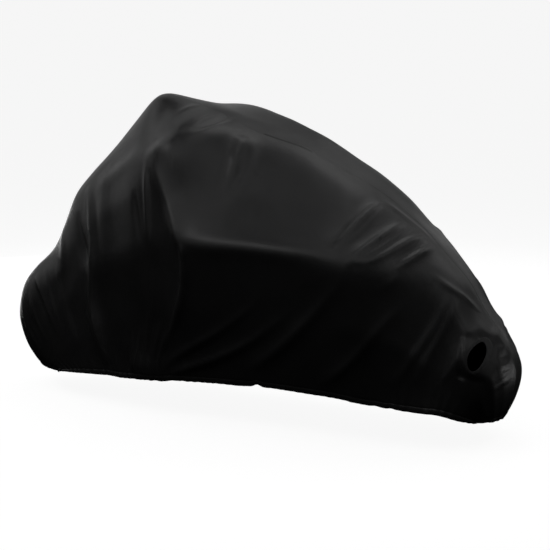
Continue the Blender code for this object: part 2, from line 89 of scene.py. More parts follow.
SECTIONS = tuple(Section(*row) for row in (
    # x and z at the top, x at the hem; y and z at ridge, shoulder, knee, low and hem, and at the far ridge
    (-0.935, 0.068, -0.76, 0.045, 0.069, 0.075, 0.071, 0.11, 0.075, 0.142, 0.08, 0.165, 0.086, 0.045, 0.069),
    (-1.012, 0.128, -0.735, 0.042, 0.125, 0.075, 0.12, 0.115, 0.112, 0.15, 0.1, 0.172, 0.089, 0.042, 0.125),
    (-1.052, 0.238, -0.7, 0.044, 0.234, 0.08, 0.218, 0.122, 0.182, 0.16, 0.136, 0.182, 0.092, 0.044, 0.234),
    (-1.028, 0.36, -0.66, 0.046, 0.35, 0.088, 0.322, 0.132, 0.252, 0.17, 0.172, 0.19, 0.096, 0.046, 0.35),
    (-0.958, 0.44, -0.62, 0.05, 0.426, 0.096, 0.388, 0.142, 0.305, 0.18, 0.2, 0.198, 0.1, 0.05, 0.426),
    (-0.885, 0.497, -0.58, 0.056, 0.48, 0.104, 0.44, 0.152, 0.345, 0.188, 0.225, 0.206, 0.104, 0.056, 0.48),
    (-0.836, 0.59, -0.54, 0.062, 0.57, 0.112, 0.52, 0.162, 0.405, 0.197, 0.255, 0.214, 0.108, 0.062, 0.57),
    (-0.806, 0.668, -0.51, 0.056, 0.65, 0.098, 0.6, 0.16, 0.46, 0.206, 0.28, 0.222, 0.112, 0.07, 0.645),
    (-0.77, 0.735, -0.47, 0.074, 0.7, 0.124, 0.63, 0.188, 0.48, 0.216, 0.295, 0.232, 0.111, 0.085, 0.692),
    (-0.609, 0.902, -0.39, 0.122, 0.78, 0.182, 0.692, 0.236, 0.53, 0.248, 0.335, 0.246, 0.118, 0.13, 0.82),
    (-0.428, 1.103, -0.29, 0.203, 0.866, 0.245, 0.77, 0.288, 0.585, 0.276, 0.37, 0.25, 0.126, 0.215, 0.96),
    (-0.35, 1.085, -0.262, 0.238, 0.89, 0.262, 0.82, 0.29, 0.63, 0.28, 0.4, 0.251, 0.129, 0.245, 1.01),
    (-0.275, 1.066, -0.225, 0.24, 0.966, 0.28, 0.785, 0.3, 0.62, 0.288, 0.385, 0.252, 0.133, 0.265, 1.035),
    (-0.205, 1.048, -0.188, 0.228, 0.968, 0.268, 0.835, 0.32, 0.69, 0.31, 0.41, 0.252, 0.135, 0.28, 1.033),
    (-0.13, 1.016, -0.128, 0.18, 0.966, 0.258, 0.8, 0.35, 0.642, 0.308, 0.385, 0.252, 0.139, 0.27, 1.02),
    (-0.03, 0.972, -0.03, 0.06, 0.962, 0.195, 0.797, 0.346, 0.648, 0.302, 0.382, 0.252, 0.144, 0.235, 1.004),
    (0.15, 0.928, 0.15, 0.055, 0.916, 0.19, 0.77, 0.338, 0.645, 0.3, 0.38, 0.252, 0.152, 0.17, 0.956),
    (0.4, 0.825, 0.4, 0.1, 0.803, 0.21, 0.714, 0.332, 0.637, 0.3, 0.38, 0.252, 0.146, 0.115, 0.84),
    (0.5, 0.765, 0.49, 0.085, 0.757, 0.195, 0.688, 0.302, 0.618, 0.305, 0.4, 0.252, 0.138, 0.105, 0.772),
    (0.62, 0.675, 0.59, 0.072, 0.672, 0.15, 0.64, 0.22, 0.575, 0.265, 0.37, 0.252, 0.134, 0.087, 0.655),
    (0.7, 0.59, 0.655, 0.074, 0.588, 0.13, 0.562, 0.176, 0.48, 0.235, 0.32, 0.245, 0.132, 0.08, 0.59),
    (0.765, 0.535, 0.705, 0.068, 0.527, 0.12, 0.5, 0.16, 0.405, 0.21, 0.28, 0.236, 0.128, 0.065, 0.52),
    (0.805, 0.458, 0.735, 0.072, 0.453, 0.132, 0.424, 0.168, 0.335, 0.195, 0.24, 0.226, 0.128, 0.075, 0.45),
    (0.85, 0.405, 0.76, 0.082, 0.396, 0.14, 0.368, 0.172, 0.3, 0.188, 0.21, 0.212, 0.122, 0.08, 0.396),
    (0.89, 0.357, 0.78, 0.09, 0.348, 0.142, 0.318, 0.17, 0.255, 0.18, 0.185, 0.2, 0.115, 0.082, 0.348),
    (0.925, 0.28, 0.8, 0.086, 0.274, 0.134, 0.248, 0.16, 0.2, 0.168, 0.155, 0.185, 0.106, 0.076, 0.274),
    (0.935, 0.225, 0.812, 0.074, 0.22, 0.12, 0.198, 0.146, 0.16, 0.155, 0.13, 0.17, 0.1, 0.066, 0.22),
    (0.912, 0.125, 0.825, 0.045, 0.123, 0.078, 0.118, 0.108, 0.11, 0.13, 0.102, 0.148, 0.094, 0.045, 0.123),
    (0.885, 0.08, 0.835, 0.035, 0.08, 0.06, 0.081, 0.085, 0.083, 0.106, 0.085, 0.125, 0.088, 0.035, 0.08),
))
# How far each point of a section, from seam to hem, has gone from the top's x to the hem's.
FAN = (0.0, 0.10, 0.24, 0.50, 0.78, 1.0)


class Fold(NamedTuple):
    """One fold: a rounded ridge, or a groove where height is below zero, along a parabola on the drape.

    along is metres along the seam from the front hem, down the share of the way to the hem, peak the share of
    the fold's own run where it stands highest.
    """

    side: Side
    along0: float
    down0: float
    along1: float
    down1: float
    along2: float
    down2: float
    width: float
    height: float
    peak: float


NEAR, FAR = Side.NEAR, Side.FAR
MAIN_FOLDS = tuple(Fold(*row) for row in (
    # side  along0 down0  along1 down1  along2 down2  width  height  peak
    (NEAR, 1.408, 0.286, 1.510, 0.430, 1.622, 0.575, 0.030, 0.010, 0.70),
    (NEAR, 1.600, 0.540, 1.565, 0.740, 1.385, 0.905, 0.030, 0.009, 0.20),
    (NEAR, 1.385, 0.300, 1.390, 0.420, 1.388, 0.570, 0.013, 0.006, 0.40),
    (NEAR, 1.370, 0.285, 1.150, 0.232, 0.935, 0.180, 0.036, 0.005, 0.50),
    (NEAR, 0.890, 0.120, 0.912, 0.350, 0.790, 0.620, 0.030, 0.010, 0.45),
    (NEAR, 0.985, 0.120, 1.010, 0.350, 0.910, 0.620, 0.050, 0.008, 0.45),
    (NEAR, 0.925, 0.380, 0.750, 0.670, 0.730, 0.950, 0.034, 0.018, 0.50),
    (NEAR, 0.800, 0.180, 0.790, 0.340, 0.840, 0.540, 0.026, -0.009, 0.55),
    (NEAR, 0.508, 0.130, 0.508, 0.400, 0.431, 0.830, 0.028, 0.003, 0.35),
    (NEAR, 0.422, 0.130, 0.420, 0.390, 0.380, 0.720, 0.028, 0.005, 0.35),
    (NEAR, 1.355, 0.270, 1.440, 0.250, 1.510, 0.235, 0.036, 0.008, 0.50),
    (NEAR, 1.470, 0.245, 1.592, 0.160, 1.668, 0.005, 0.044, 0.002, 0.50),
    (NEAR, 1.490, 0.185, 1.560, 0.090, 1.600, -0.060, 0.022, -0.006, 0.45),
    (NEAR, 1.690, 0.060, 1.712, 0.160, 1.712, 0.310, 0.034, 0.014, 0.35),
    (NEAR, 1.740, -0.010, 1.950, 0.040, 2.200, 0.120, 0.060, 0.004, 0.50),
    (NEAR, 1.600, 0.520, 1.860, 0.482, 2.080, 0.452, 0.030, 0.004, 0.30),
    (NEAR, 2.230, 0.440, 2.400, 0.370, 2.540, 0.260, 0.060, 0.004, 0.45),
    (NEAR, 2.200, 0.410, 2.228, 0.240, 2.258, 0.060, 0.026, 0.008, 0.50),
    (NEAR, 2.255, 0.440, 2.320, 0.265, 2.368, 0.070, 0.022, 0.006, 0.50),
    (NEAR, 2.285, 0.420, 2.385, 0.275, 2.450, 0.030, 0.024, 0.006, 0.50),
    (NEAR, 2.425, 0.340, 2.470, 0.215, 2.490, 0.050, 0.022, 0.005, 0.50),
    (NEAR, 1.020, 0.965, 1.200, 0.960, 1.420, 0.975, 0.050, 0.013, 0.50),
    (NEAR, 1.370, 0.950, 1.660, 0.845, 1.925, 0.645, 0.020, 0.004, 0.35),
    (NEAR, 1.420, 0.975, 1.760, 0.880, 2.040, 0.665, 0.022, 0.005, 0.35),
    (NEAR, 1.820, 0.945, 2.040, 0.765, 2.265, 0.480, 0.032, 0.006, 0.30),
    (NEAR, 2.110, 0.955, 2.320, 0.760, 2.500, 0.440, 0.034, 0.005, 0.20),
    (NEAR, 2.590, 0.850, 2.650, 0.560, 2.690, 0.190, 0.028, 0.003, 0.40),
    (NEAR, 2.690, 0.880, 2.795, 0.530, 2.785, 0.130, 0.028, 0.003, 0.45),
    (NEAR, 2.550, 0.215, 2.650, 0.190, 2.760, 0.060, 0.020, 0.002, 0.40),
    (FAR, 1.585, 0.550, 1.590, 0.730, 1.530, 0.900, 0.036, 0.012, 0.20),
    (FAR, 1.372, 0.300, 1.150, 0.240, 0.935, 0.190, 0.038, 0.006, 0.50),
    (FAR, 0.905, 0.210, 0.860, 0.520, 0.760, 0.950, 0.040, 0.016, 0.30),
    (FAR, 0.500, 0.140, 0.495, 0.420, 0.440, 0.840, 0.028, 0.008, 0.38),
    (FAR, 1.620, 0.510, 1.920, 0.485, 2.270, 0.440, 0.032, 0.010, 0.40),
    (FAR, 2.240, 0.420, 2.250, 0.300, 2.285, 0.170, 0.026, 0.009, 0.50),
    (FAR, 2.330, 0.410, 2.375, 0.290, 2.415, 0.170, 0.026, 0.008, 0.50),
    (FAR, 1.450, 0.950, 1.700, 0.810, 1.960, 0.620, 0.032, 0.011, 0.45),
    (FAR, 1.800, 0.970, 2.050, 0.770, 2.320, 0.520, 0.040, 0.011, 0.45),
    (FAR, 2.620, 0.220, 2.640, 0.480, 2.560, 0.820, 0.034, 0.010, 0.45),
    (FAR, 2.790, 0.150, 2.800, 0.540, 2.690, 0.900, 0.032, 0.009, 0.45),
))
FINE_FOLDS = tuple(Fold(NEAR, *row) for row in (
    # along0 down0  along1 down1  along2 down2  width  height  peak
    # nose
    (0.290, 0.100, 0.200, 0.310, 0.135, 0.540, 0.011, 0.003, 0.50),
    (0.285, 0.160, 0.262, 0.330, 0.225, 0.500, 0.009, -0.0012, 0.50),
    (0.340, 0.190, 0.295, 0.370, 0.235, 0.610, 0.010, 0.003, 0.45),
    (0.400, 0.160, 0.385, 0.340, 0.365, 0.500, 0.008, -0.0024, 0.50),
    (0.420, 0.130, 0.400, 0.380, 0.360, 0.680, 0.011, 0.0032, 0.40),
    (0.480, 0.150, 0.455, 0.350, 0.415, 0.600, 0.009, 0.0026, 0.40),
    (0.525, 0.440, 0.490, 0.610, 0.475, 0.830, 0.018, 0.0018, 0.60),
    (0.640, 0.060, 0.620, 0.200, 0.540, 0.340, 0.020, 0.004, 0.50),
    (0.560, 0.200, 0.530, 0.360, 0.515, 0.500, 0.009, 0.0022, 0.40),
    # front slope
    (0.892, 0.125, 0.925, 0.330, 0.840, 0.560, 0.018, 0.004, 0.50),
    (0.880, 0.480, 0.745, 0.690, 0.732, 0.945, 0.014, 0.006, 0.60),
    (0.960, 0.200, 0.950, 0.400, 0.880, 0.620, 0.010, 0.0016, 0.40),
    # front peak and its hanging folds
    (1.408, 0.290, 1.512, 0.430, 1.622, 0.570, 0.010, 0.003, 0.75),
    (1.604, 0.530, 1.568, 0.740, 1.385, 0.905, 0.010, 0.009, 0.12),
    (1.378, 0.290, 1.386, 0.400, 1.382, 0.560, 0.010, 0.002, 0.35),
    (1.318, 0.370, 1.330, 0.460, 1.345, 0.550, 0.016, -0.005, 0.40),
    (1.395, 0.600, 1.365, 0.735, 1.290, 0.880, 0.009, 0.0018, 0.50),
    # gathers low at the middle
    (1.135, 0.810, 1.075, 0.890, 1.010, 0.975, 0.010, 0.0065, 0.65),
    (1.180, 0.830, 1.110, 0.905, 1.050, 0.970, 0.009, 0.0045, 0.60),
    (1.215, 0.810, 1.150, 0.890, 1.095, 0.965, 0.010, 0.007, 0.60),
    (1.265, 0.800, 1.200, 0.890, 1.135, 0.968, 0.009, 0.0045, 0.60),
    (1.320, 0.760, 1.255, 0.870, 1.180, 0.960, 0.010, 0.0072, 0.60),
    (1.370, 0.800, 1.300, 0.880, 1.225, 0.965, 0.009, 0.0048, 0.60),
    (1.420, 0.800, 1.340, 0.880, 1.270, 0.960, 0.010, 0.006, 0.60),
    (1.480, 0.820, 1.390, 0.890, 1.320, 0.960, 0.009, 0.0045, 0.60),
    # long folds up to the rear
    (1.370, 0.955, 1.660, 0.848, 1.925, 0.645, 0.009, 0.0048, 0.35),
    (1.420, 0.978, 1.760, 0.882, 2.040, 0.665, 0.010, 0.005, 0.35),
    (1.820, 0.945, 2.040, 0.765, 2.265, 0.480, 0.014, 0.0042, 0.35),
    (2.110, 0.955, 2.320, 0.760, 2.500, 0.440, 0.014, 0.0042, 0.30),
    # top
    (1.515, 0.180, 1.540, 0.085, 1.565, 0.000, 0.008, 0.0036, 0.50),
    (1.545, 0.170, 1.580, 0.085, 1.605, 0.005, 0.010, -0.007, 0.45),
    (1.425, 0.100, 1.450, 0.050, 1.478, 0.005, 0.007, 0.0026, 0.50),
    (1.350, 0.040, 1.375, 0.110, 1.400, 0.180, 0.026, -0.002, 0.50),
    (1.696, 0.135, 1.710, 0.215, 1.712, 0.310, 0.018, 0.006, 0.30),
    # fan at the rear
    (2.200, 0.400, 2.228, 0.240, 2.258, 0.060, 0.012, 0.009, 0.60),
    (2.255, 0.440, 2.320, 0.265, 2.368, 0.070, 0.008, 0.007, 0.45),
    (2.258, 0.450, 2.352, 0.275, 2.400, 0.050, 0.007, 0.005, 0.50),
    (2.285, 0.420, 2.385, 0.275, 2.450, 0.030, 0.010, 0.006, 0.55),
    (2.425, 0.340, 2.470, 0.215, 2.490, 0.050, 0.009, 0.005, 0.50),
    (2.410, 0.330, 2.450, 0.215, 2.478, 0.080, 0.009, -0.005, 0.45),
    (2.315, 0.365, 2.365, 0.305, 2.410, 0.180, 0.007, -0.003, 0.50),
    (2.240, 0.045, 2.340, 0.045, 2.490, 0.030, 0.010, 0.0036, 0.50),
    (2.375, 0.500, 2.415, 0.430, 2.460, 0.350, 0.012, 0.0016, 0.60),
    (2.545, 0.220, 2.650, 0.185, 2.765, 0.060, 0.010, 0.0036, 0.45),
    # rear end
    (2.460, 0.890, 2.590, 0.620, 2.650, 0.180, 0.015, 0.0044, 0.45),
    (2.590, 0.850, 2.650, 0.540, 2.690, 0.190, 0.014, 0.0026, 0.45),
    (2.690, 0.880, 2.795, 0.530, 2.785, 0.130, 0.010, 0.0014, 0.45),
    (2.880, 0.300, 2.892, 0.150, 2.895, 0.010, 0.008, 0.0034, 0.50),
    (2.912, 0.320, 2.922, 0.180, 2.925, 0.050, 0.008, -0.003, 0.50),
    (2.947, 0.320, 2.952, 0.190, 2.947, 0.040, 0.007, 0.003, 0.50),
    (2.967, 0.480, 2.977, 0.280, 2.969, 0.060, 0.008, 0.0036, 0.50),
    (2.995, 0.500, 3.002, 0.300, 2.995, 0.080, 0.008, 0.0028, 0.50),
))


@dataclass(frozen=True)
class Grid:
    """The drape before its folds: rows from front hem to rear hem, columns from the far hem to the near."""

    points: np.ndarray
    along: np.ndarray


@dataclass
class Lattice:
    """One side's fine points: rows along the seam, columns from the seam down to the hem.

    down is each point's distance from the seam along its row, and from_hem its distance from the nearest part
    of the hem; the hem runs along the first row, the last column and the last row.
    """

    side: Side
    points: np.ndarray
    normals: np.ndarray
    along: np.ndarray
    down: np.ndarray
    from_front: np.ndarray
    from_side: np.ndarray
    from_rear: np.ndarray
    crest: np.ndarray

    @property
    def from_hem(self) -> np.ndarray:
        """Metres to the nearest part of the hem."""
        return np.minimum(self.from_side, np.minimum(self.from_front, self.from_rear))

    def push(self, height: np.ndarray) -> None:
        """Move every point out along its normal by its own height."""
        self.points = self.points + self.normals * height[..., None]


def arc_length(points: np.ndarray, axis: int) -> np.ndarray:
    """Distance walked along one axis of a grid of points, starting at zero.

    Args:
        points: rows x columns x 3.
        axis: 0 to walk down the columns, 1 to walk along the rows.

    Returns:
        rows x columns.
    """
    steps = np.linalg.norm(np.diff(points, axis=axis), axis=2)
    start = np.zeros_like(steps[:1] if axis == 0 else steps[:, :1])
    return np.concatenate([start, np.cumsum(steps, axis=axis)], axis=axis)


def grid_normals(points: np.ndarray, side: Side) -> np.ndarray:
    """Unit normals that point away from the hollow: the cross product of the two directions of the grid."""
    normal = np.cross(np.gradient(points, axis=1), np.gradient(points, axis=0)) * side.value
    return normal / np.linalg.norm(normal, axis=-1, keepdims=True)


def smooth_step(value: np.ndarray, start: float, stop: float) -> np.ndarray:
    """Zero below start, one above stop, and a cubic ease between the two."""
    part = np.clip((value - start) / (stop - start), 0.0, 1.0)
    return part * part * (3 - 2 * part)


def bell(ratio: np.ndarray, trough_share: float, trough_reach: float) -> np.ndarray:
    """A bell curve less a wider and shallower one, so that a ridge has a soft trough on either side."""
    return (1 + trough_share) * np.exp(-ratio ** 2) - trough_share * np.exp(-(ratio / trough_reach) ** 2)


@dataclass
class Drape:
    """The draped sheet's shape: sections rounded into one surface, then pushed out or in along its folds.

    Starts and stops are where each soft zone begins and ends: shares of the way down, or metres along the
    seam for the rear. A hem step is a distance from the hem at which fine points lie.
    """

    stations: int = 528
    down_steps: int = 132
    round_along: float = 0.045
    round_down: float = 0.028
    round_crest: float = 0.075
    crest_starts: tuple[float, float] = (-0.12, 0.02)
    crest_stops: tuple[float, float] = (0.24, 0.40)
    crest_reach: float = 0.18
    knee_starts: tuple[float, float] = (0.26, 0.36)
    knee_stops: tuple[float, float] = (0.56, 0.72)
    rear_starts: tuple[float, float] = (2.04, 2.20)
    rear_stops: tuple[float, float] = (2.60, 2.80)
    kernel_reach: int = 4
    cell_margin: float = 1e-6
    fold_steps: int = 48
    fold_margin: float = 6.0
    trough_share: float = 0.18
    trough_reach: float = 2.4
    rows: int = 392
    columns: int = 96
    hem_zone: float = 0.060
    hem_steps: tuple[float, ...] = (
        0.0, 0.0025, 0.005, 0.008, 0.012, 0.016, 0.0185, 0.020, 0.0215, 0.024, 0.029, 0.036, 0.044, 0.052,
    )

    def smoothing(self, count: int, spread: float) -> np.ndarray:
        """Matrix that rounds a row of points: twice a Gaussian mean less the mean of that mean.

        Args:
            count: the number of points in the row.
            spread: the Gaussian's spread in points.

        Returns:
            A square matrix; the row is mirrored through its end points, so the ends stay where they are.
        """
        reach = int(self.kernel_reach * spread) + 1
        offsets = np.arange(-reach, reach + 1)
        weights = np.exp(-0.5 * (offsets / spread) ** 2)
        weights /= weights.sum()
        mean = np.zeros((count, count))
        rows = np.arange(count)
        last = count - 1
        for offset, weight in zip(offsets, weights):
            column = rows + offset
            inside = (column >= 0) & (column <= last)
            np.add.at(mean, (rows[inside], column[inside]), weight)
            low = rows[column < 0]
            np.add.at(mean, (low, np.zeros_like(low)), 2 * weight)
            np.add.at(mean, (low, -column[column < 0]), -weight)
            high = rows[column > last]
            np.add.at(mean, (high, np.full_like(high, last)), 2 * weight)
            np.add.at(mean, (high, 2 * last - column[column > last]), -weight)
        return 2 * mean - mean @ mean

    @staticmethod
    def section_lines(side: Side, rows: dict[str, np.ndarray]) -> np.ndarray:
        """Points of every row at seam, ridge, shoulder, knee, low and hem for one side.

        Args:
            side: the half of the cover.
            rows: the sections' columns by name.

        Returns:
            An array of rows x 6 x 3.
        """
        x = rows["top_x"][:, None] + (rows["hem_x"] - rows["top_x"])[:, None] * np.array(FAN)
        ridge = ("ridge_y", "ridge_z") if side is NEAR else ("far_y", "far_z")
        lower = ("shoulder", "knee", "low", "hem")
        across = [0 * rows["top_x"], rows[ridge[0]]] + [rows[f"{name}_y"] for name in lower]
        up = [rows["top_z"], rows[ridge[1]]] + [rows[f"{name}_z"] for name in lower]
        return np.stack([x, -side.value * np.stack(across, axis=1), np.stack(up, axis=1)], axis=-1)

    @staticmethod
    def even_steps(lines: np.ndarray, steps: int) -> np.ndarray:
        """Put evenly spaced points along each line of points.

        Args:
            lines: rows x points x 3.
            steps: the number of steps along each line.

        Returns:
            rows x (steps + 1) x 3, linear between the points by arc length.
        """
        share = arc_length(lines, 1)
        share /= share[:, -1:]
        wanted = np.linspace(0.0, 1.0, steps + 1)
        leg = np.clip((wanted[None, :, None] >= share[:, None, :]).sum(-1) - 1, 0, lines.shape[1] - 2)
        start = np.take_along_axis(share, leg, 1)
        stop = np.take_along_axis(share, leg + 1, 1)
        part = ((wanted[None] - start) / (stop - start))[..., None]
        first = np.take_along_axis(lines, leg[..., None], 1)
        second = np.take_along_axis(lines, leg[..., None] + 1, 1)
        return first + (second - first) * part

    def base(self) -> Grid:
        """The drape before its folds, its corners rounded, and more widely where crest or rear knee is soft.

        Returns:
            The grid of its points.
        """
        table = {name: np.array([getattr(row, name) for row in SECTIONS]) for name in Section._fields}
        steps = np.hypot(np.diff(table["top_x"]), np.diff(table["top_z"]))
        along = np.concatenate([[0.0], np.cumsum(steps)])
        stations = np.linspace(0.0, along[-1], self.stations + 1)
        rows = {name: np.interp(stations, along, values) for name, values in table.items()}
        near = self.even_steps(self.section_lines(NEAR, rows), self.down_steps)
        far = self.even_steps(self.section_lines(FAR, rows), self.down_steps)
        points = np.concatenate([far[:, ::-1], near[:, 1:]], axis=1)
        lengthwise = self.smoothing(self.stations + 1, self.round_along * self.stations / along[-1])
        downwards = self.smoothing(2 * self.down_steps + 1, self.round_down * self.down_steps)
        points = np.tensordot(lengthwise, points, axes=(1, 0))
        points = np.einsum("ce,aed->acd", downwards, points, optimize=True)
        wider = self.smoothing(2 * self.down_steps + 1, self.round_crest * self.down_steps)
        softer = np.einsum("ce,aed->acd", wider, points, optimize=True)
        share = np.linspace(-1.0, 1.0, points.shape[1])
        sunk = (points - softer)[:, self.down_steps:self.down_steps + 1]
        softer = softer + sunk * np.exp(-(share / self.crest_reach) ** 2)[:, None]
        crest = smooth_step(share, *self.crest_starts) - smooth_step(share, *self.crest_stops)
        knee = smooth_step(share, *self.knee_starts) - smooth_step(share, *self.knee_stops)
        rear = smooth_step(stations, *self.rear_starts) - smooth_step(stations, *self.rear_stops)
        crest = crest * (1 - smooth_step(stations, *self.rear_stops))[:, None]
        soft = crest + (1 - crest) * knee * rear[:, None]
        return Grid(points + (softer - points) * soft[..., None], stations)

    def on_grid(self, grid: Grid, along: np.ndarray, down: np.ndarray) -> np.ndarray:
        """Points of the drape between the grid's points.

        Args:
            grid: the drape.
            along: metres along the seam.
            down: signed shares of the way down a side.

        Returns:
            Points, each the mean of its cell's four corners weighted by nearness.
        """
        row = np.clip(along / grid.along[-1] * self.stations, 0, self.stations - self.cell_margin)
        column = np.clip((down + 1.0) * self.down_steps, 0, 2 * self.down_steps - self.cell_margin)
        i, j = row.astype(int), column.astype(int)
        u, v = (row - i)[..., None], (column - j)[..., None]
        front = grid.points[i, j] * (1 - v) + grid.points[i, j + 1] * v
        rear = grid.points[i + 1, j] * (1 - v) + grid.points[i + 1, j + 1] * v
        return front * (1 - u) + rear * u

    def fold_heights(self, grid: Grid, points: np.ndarray, folds: tuple[Fold, ...]) -> np.ndarray:
        """How far the folds push each point out.

        A fold's height falls off as a bell curve of the distance to its line, less a wider and shallower
        bell, and swells along the line from nothing to its peak and back.

        Args:
            grid: the drape before its folds, on which the folds' lines lie.
            points: rows x columns x 3, the points to push.
            folds: the folds.

        Returns:
            A height in metres for each point.
        """
        total = np.zeros(points.shape[:2])
        share = np.linspace(0.0, 1.0, self.fold_steps)
        bend = np.stack([2 * (share - 0.5) * (share - 1), 4 * share * (1 - share), 2 * share * (share - 0.5)])
        for fold in folds:
            along = bend.T @ np.array([fold.along0, fold.along1, fold.along2])
            down = bend.T @ np.array([fold.down0, fold.down1, fold.down2]) * fold.side.value
            curve = self.on_grid(grid, along, down)
            swell = np.where(
                share < fold.peak,
                np.sin(0.5 * np.pi * share / fold.peak),
                np.cos(0.5 * np.pi * (share - fold.peak) / (1 - fold.peak)),
            )
            margin = self.fold_margin * fold.width
            low, high = curve.min(axis=0) - margin, curve.max(axis=0) + margin
            near = ((points > low) & (points < high)).all(axis=-1)
            away = np.linalg.norm(points[near][:, None, :] - curve, axis=-1)
            nearest = away.argmin(axis=-1)
            ratio = np.take_along_axis(away, nearest[..., None], -1)[..., 0] / fold.width
            total[near] += fold.height * swell[nearest] * bell(ratio, self.trough_share, self.trough_reach)
        return total

    def lattice(self, side: Side, grid: Grid) -> Lattice:
        """The fine points of one side, with its folds, in the frame's own coordinates.

        Rows and columns are evenly spaced, but for the hem zone, where they lie at set distances from it.

        Args:
            side: the half of the cover.
            grid: the drape before its folds.

        Returns:
            The lattice, whose two columns past the seam have been used for the normals and dropped.
        """
        hem = np.array(self.hem_steps)
        total = grid.along[-1]
        middle = np.linspace(self.hem_zone, total - self.hem_zone, self.rows - 2 * len(hem))
        along = np.concatenate([hem, middle, total - hem[::-1]])
        share = np.linspace(0.0, 1.0, self.down_steps + 1)
        line = self.on_grid(grid, along[:, None] + 0 * share, 0 * along[:, None] + share * side.value)
        length = arc_length(line, 1)[:, -1:]
        even = np.linspace(0.0, 1.0, self.columns)
        past_seam = -even[2:0:-1]
        inner = np.concatenate([past_seam, even]) * (length - self.hem_zone) / length
        down = np.concatenate([inner, 1 - hem[::-1] / length], axis=1)
        along = np.broadcast_to(along[:, None], down.shape)
        points = self.on_grid(grid, along, down * side.value)
        heights = self.fold_heights(grid, points, MAIN_FOLDS + FINE_FOLDS)
        points = points + grid_normals(points, side) * heights[..., None]
        points = points - np.array([REST_X, 0.0, REST_Z])
        normals = grid_normals(points, side)
        points, normals, heights = points[:, 2:], normals[:, 2:], heights[:, 2:]
        down_length = arc_length(points, 1)
        lengthwise = arc_length(points, 0)
        return Lattice(
            side=side,
            points=points,
            normals=normals,
            along=along[:, 2:],
            down=down_length,
            from_front=lengthwise,
            from_side=down_length[:, -1:] - down_length,
            from_rear=lengthwise[-1:] - lengthwise,
            crest=heights,
        )


class Pull(NamedTuple):
    """How strongly the hem is gathered at one place along it: factors of the gathers' height and reach."""

    along: float
    height: float
    reach: float


class Dip(NamedTuple):
    """A place where the hem's edge hangs lower, or higher where drop is below zero."""

    side: Side
    along: float
    width: float
    drop: float


PULLS = tuple(Pull(*row) for row in (
    # along  height  reach
    (0.00, 0.8, 0.8), (0.60, 1.0, 0.9), (1.20, 1.1, 1.0), (1.38, 1.6, 2.2), (1.55, 1.5, 2.0),
    (1.75, 0.9, 0.9), (2.20, 0.9, 0.8), (2.50, 1.2, 1.2), (2.80, 1.1, 1.0), (3.20, 0.8, 0.8),
))
DIPS = tuple(Dip(*row) for row in (
    # side  along  width  drop
    (NEAR, 1.860, 0.016, -0.010), (NEAR, 1.780, 0.050, 0.003), (NEAR, 2.380, 0.030, -0.004),
    (NEAR, 2.470, 0.030, -0.004), (NEAR, 1.350, 0.050, 0.004), (FAR, 1.560, 0.020, -0.006),
    (FAR, 2.080, 0.060, 0.005), (FAR, 2.420, 0.030, -0.005),
))


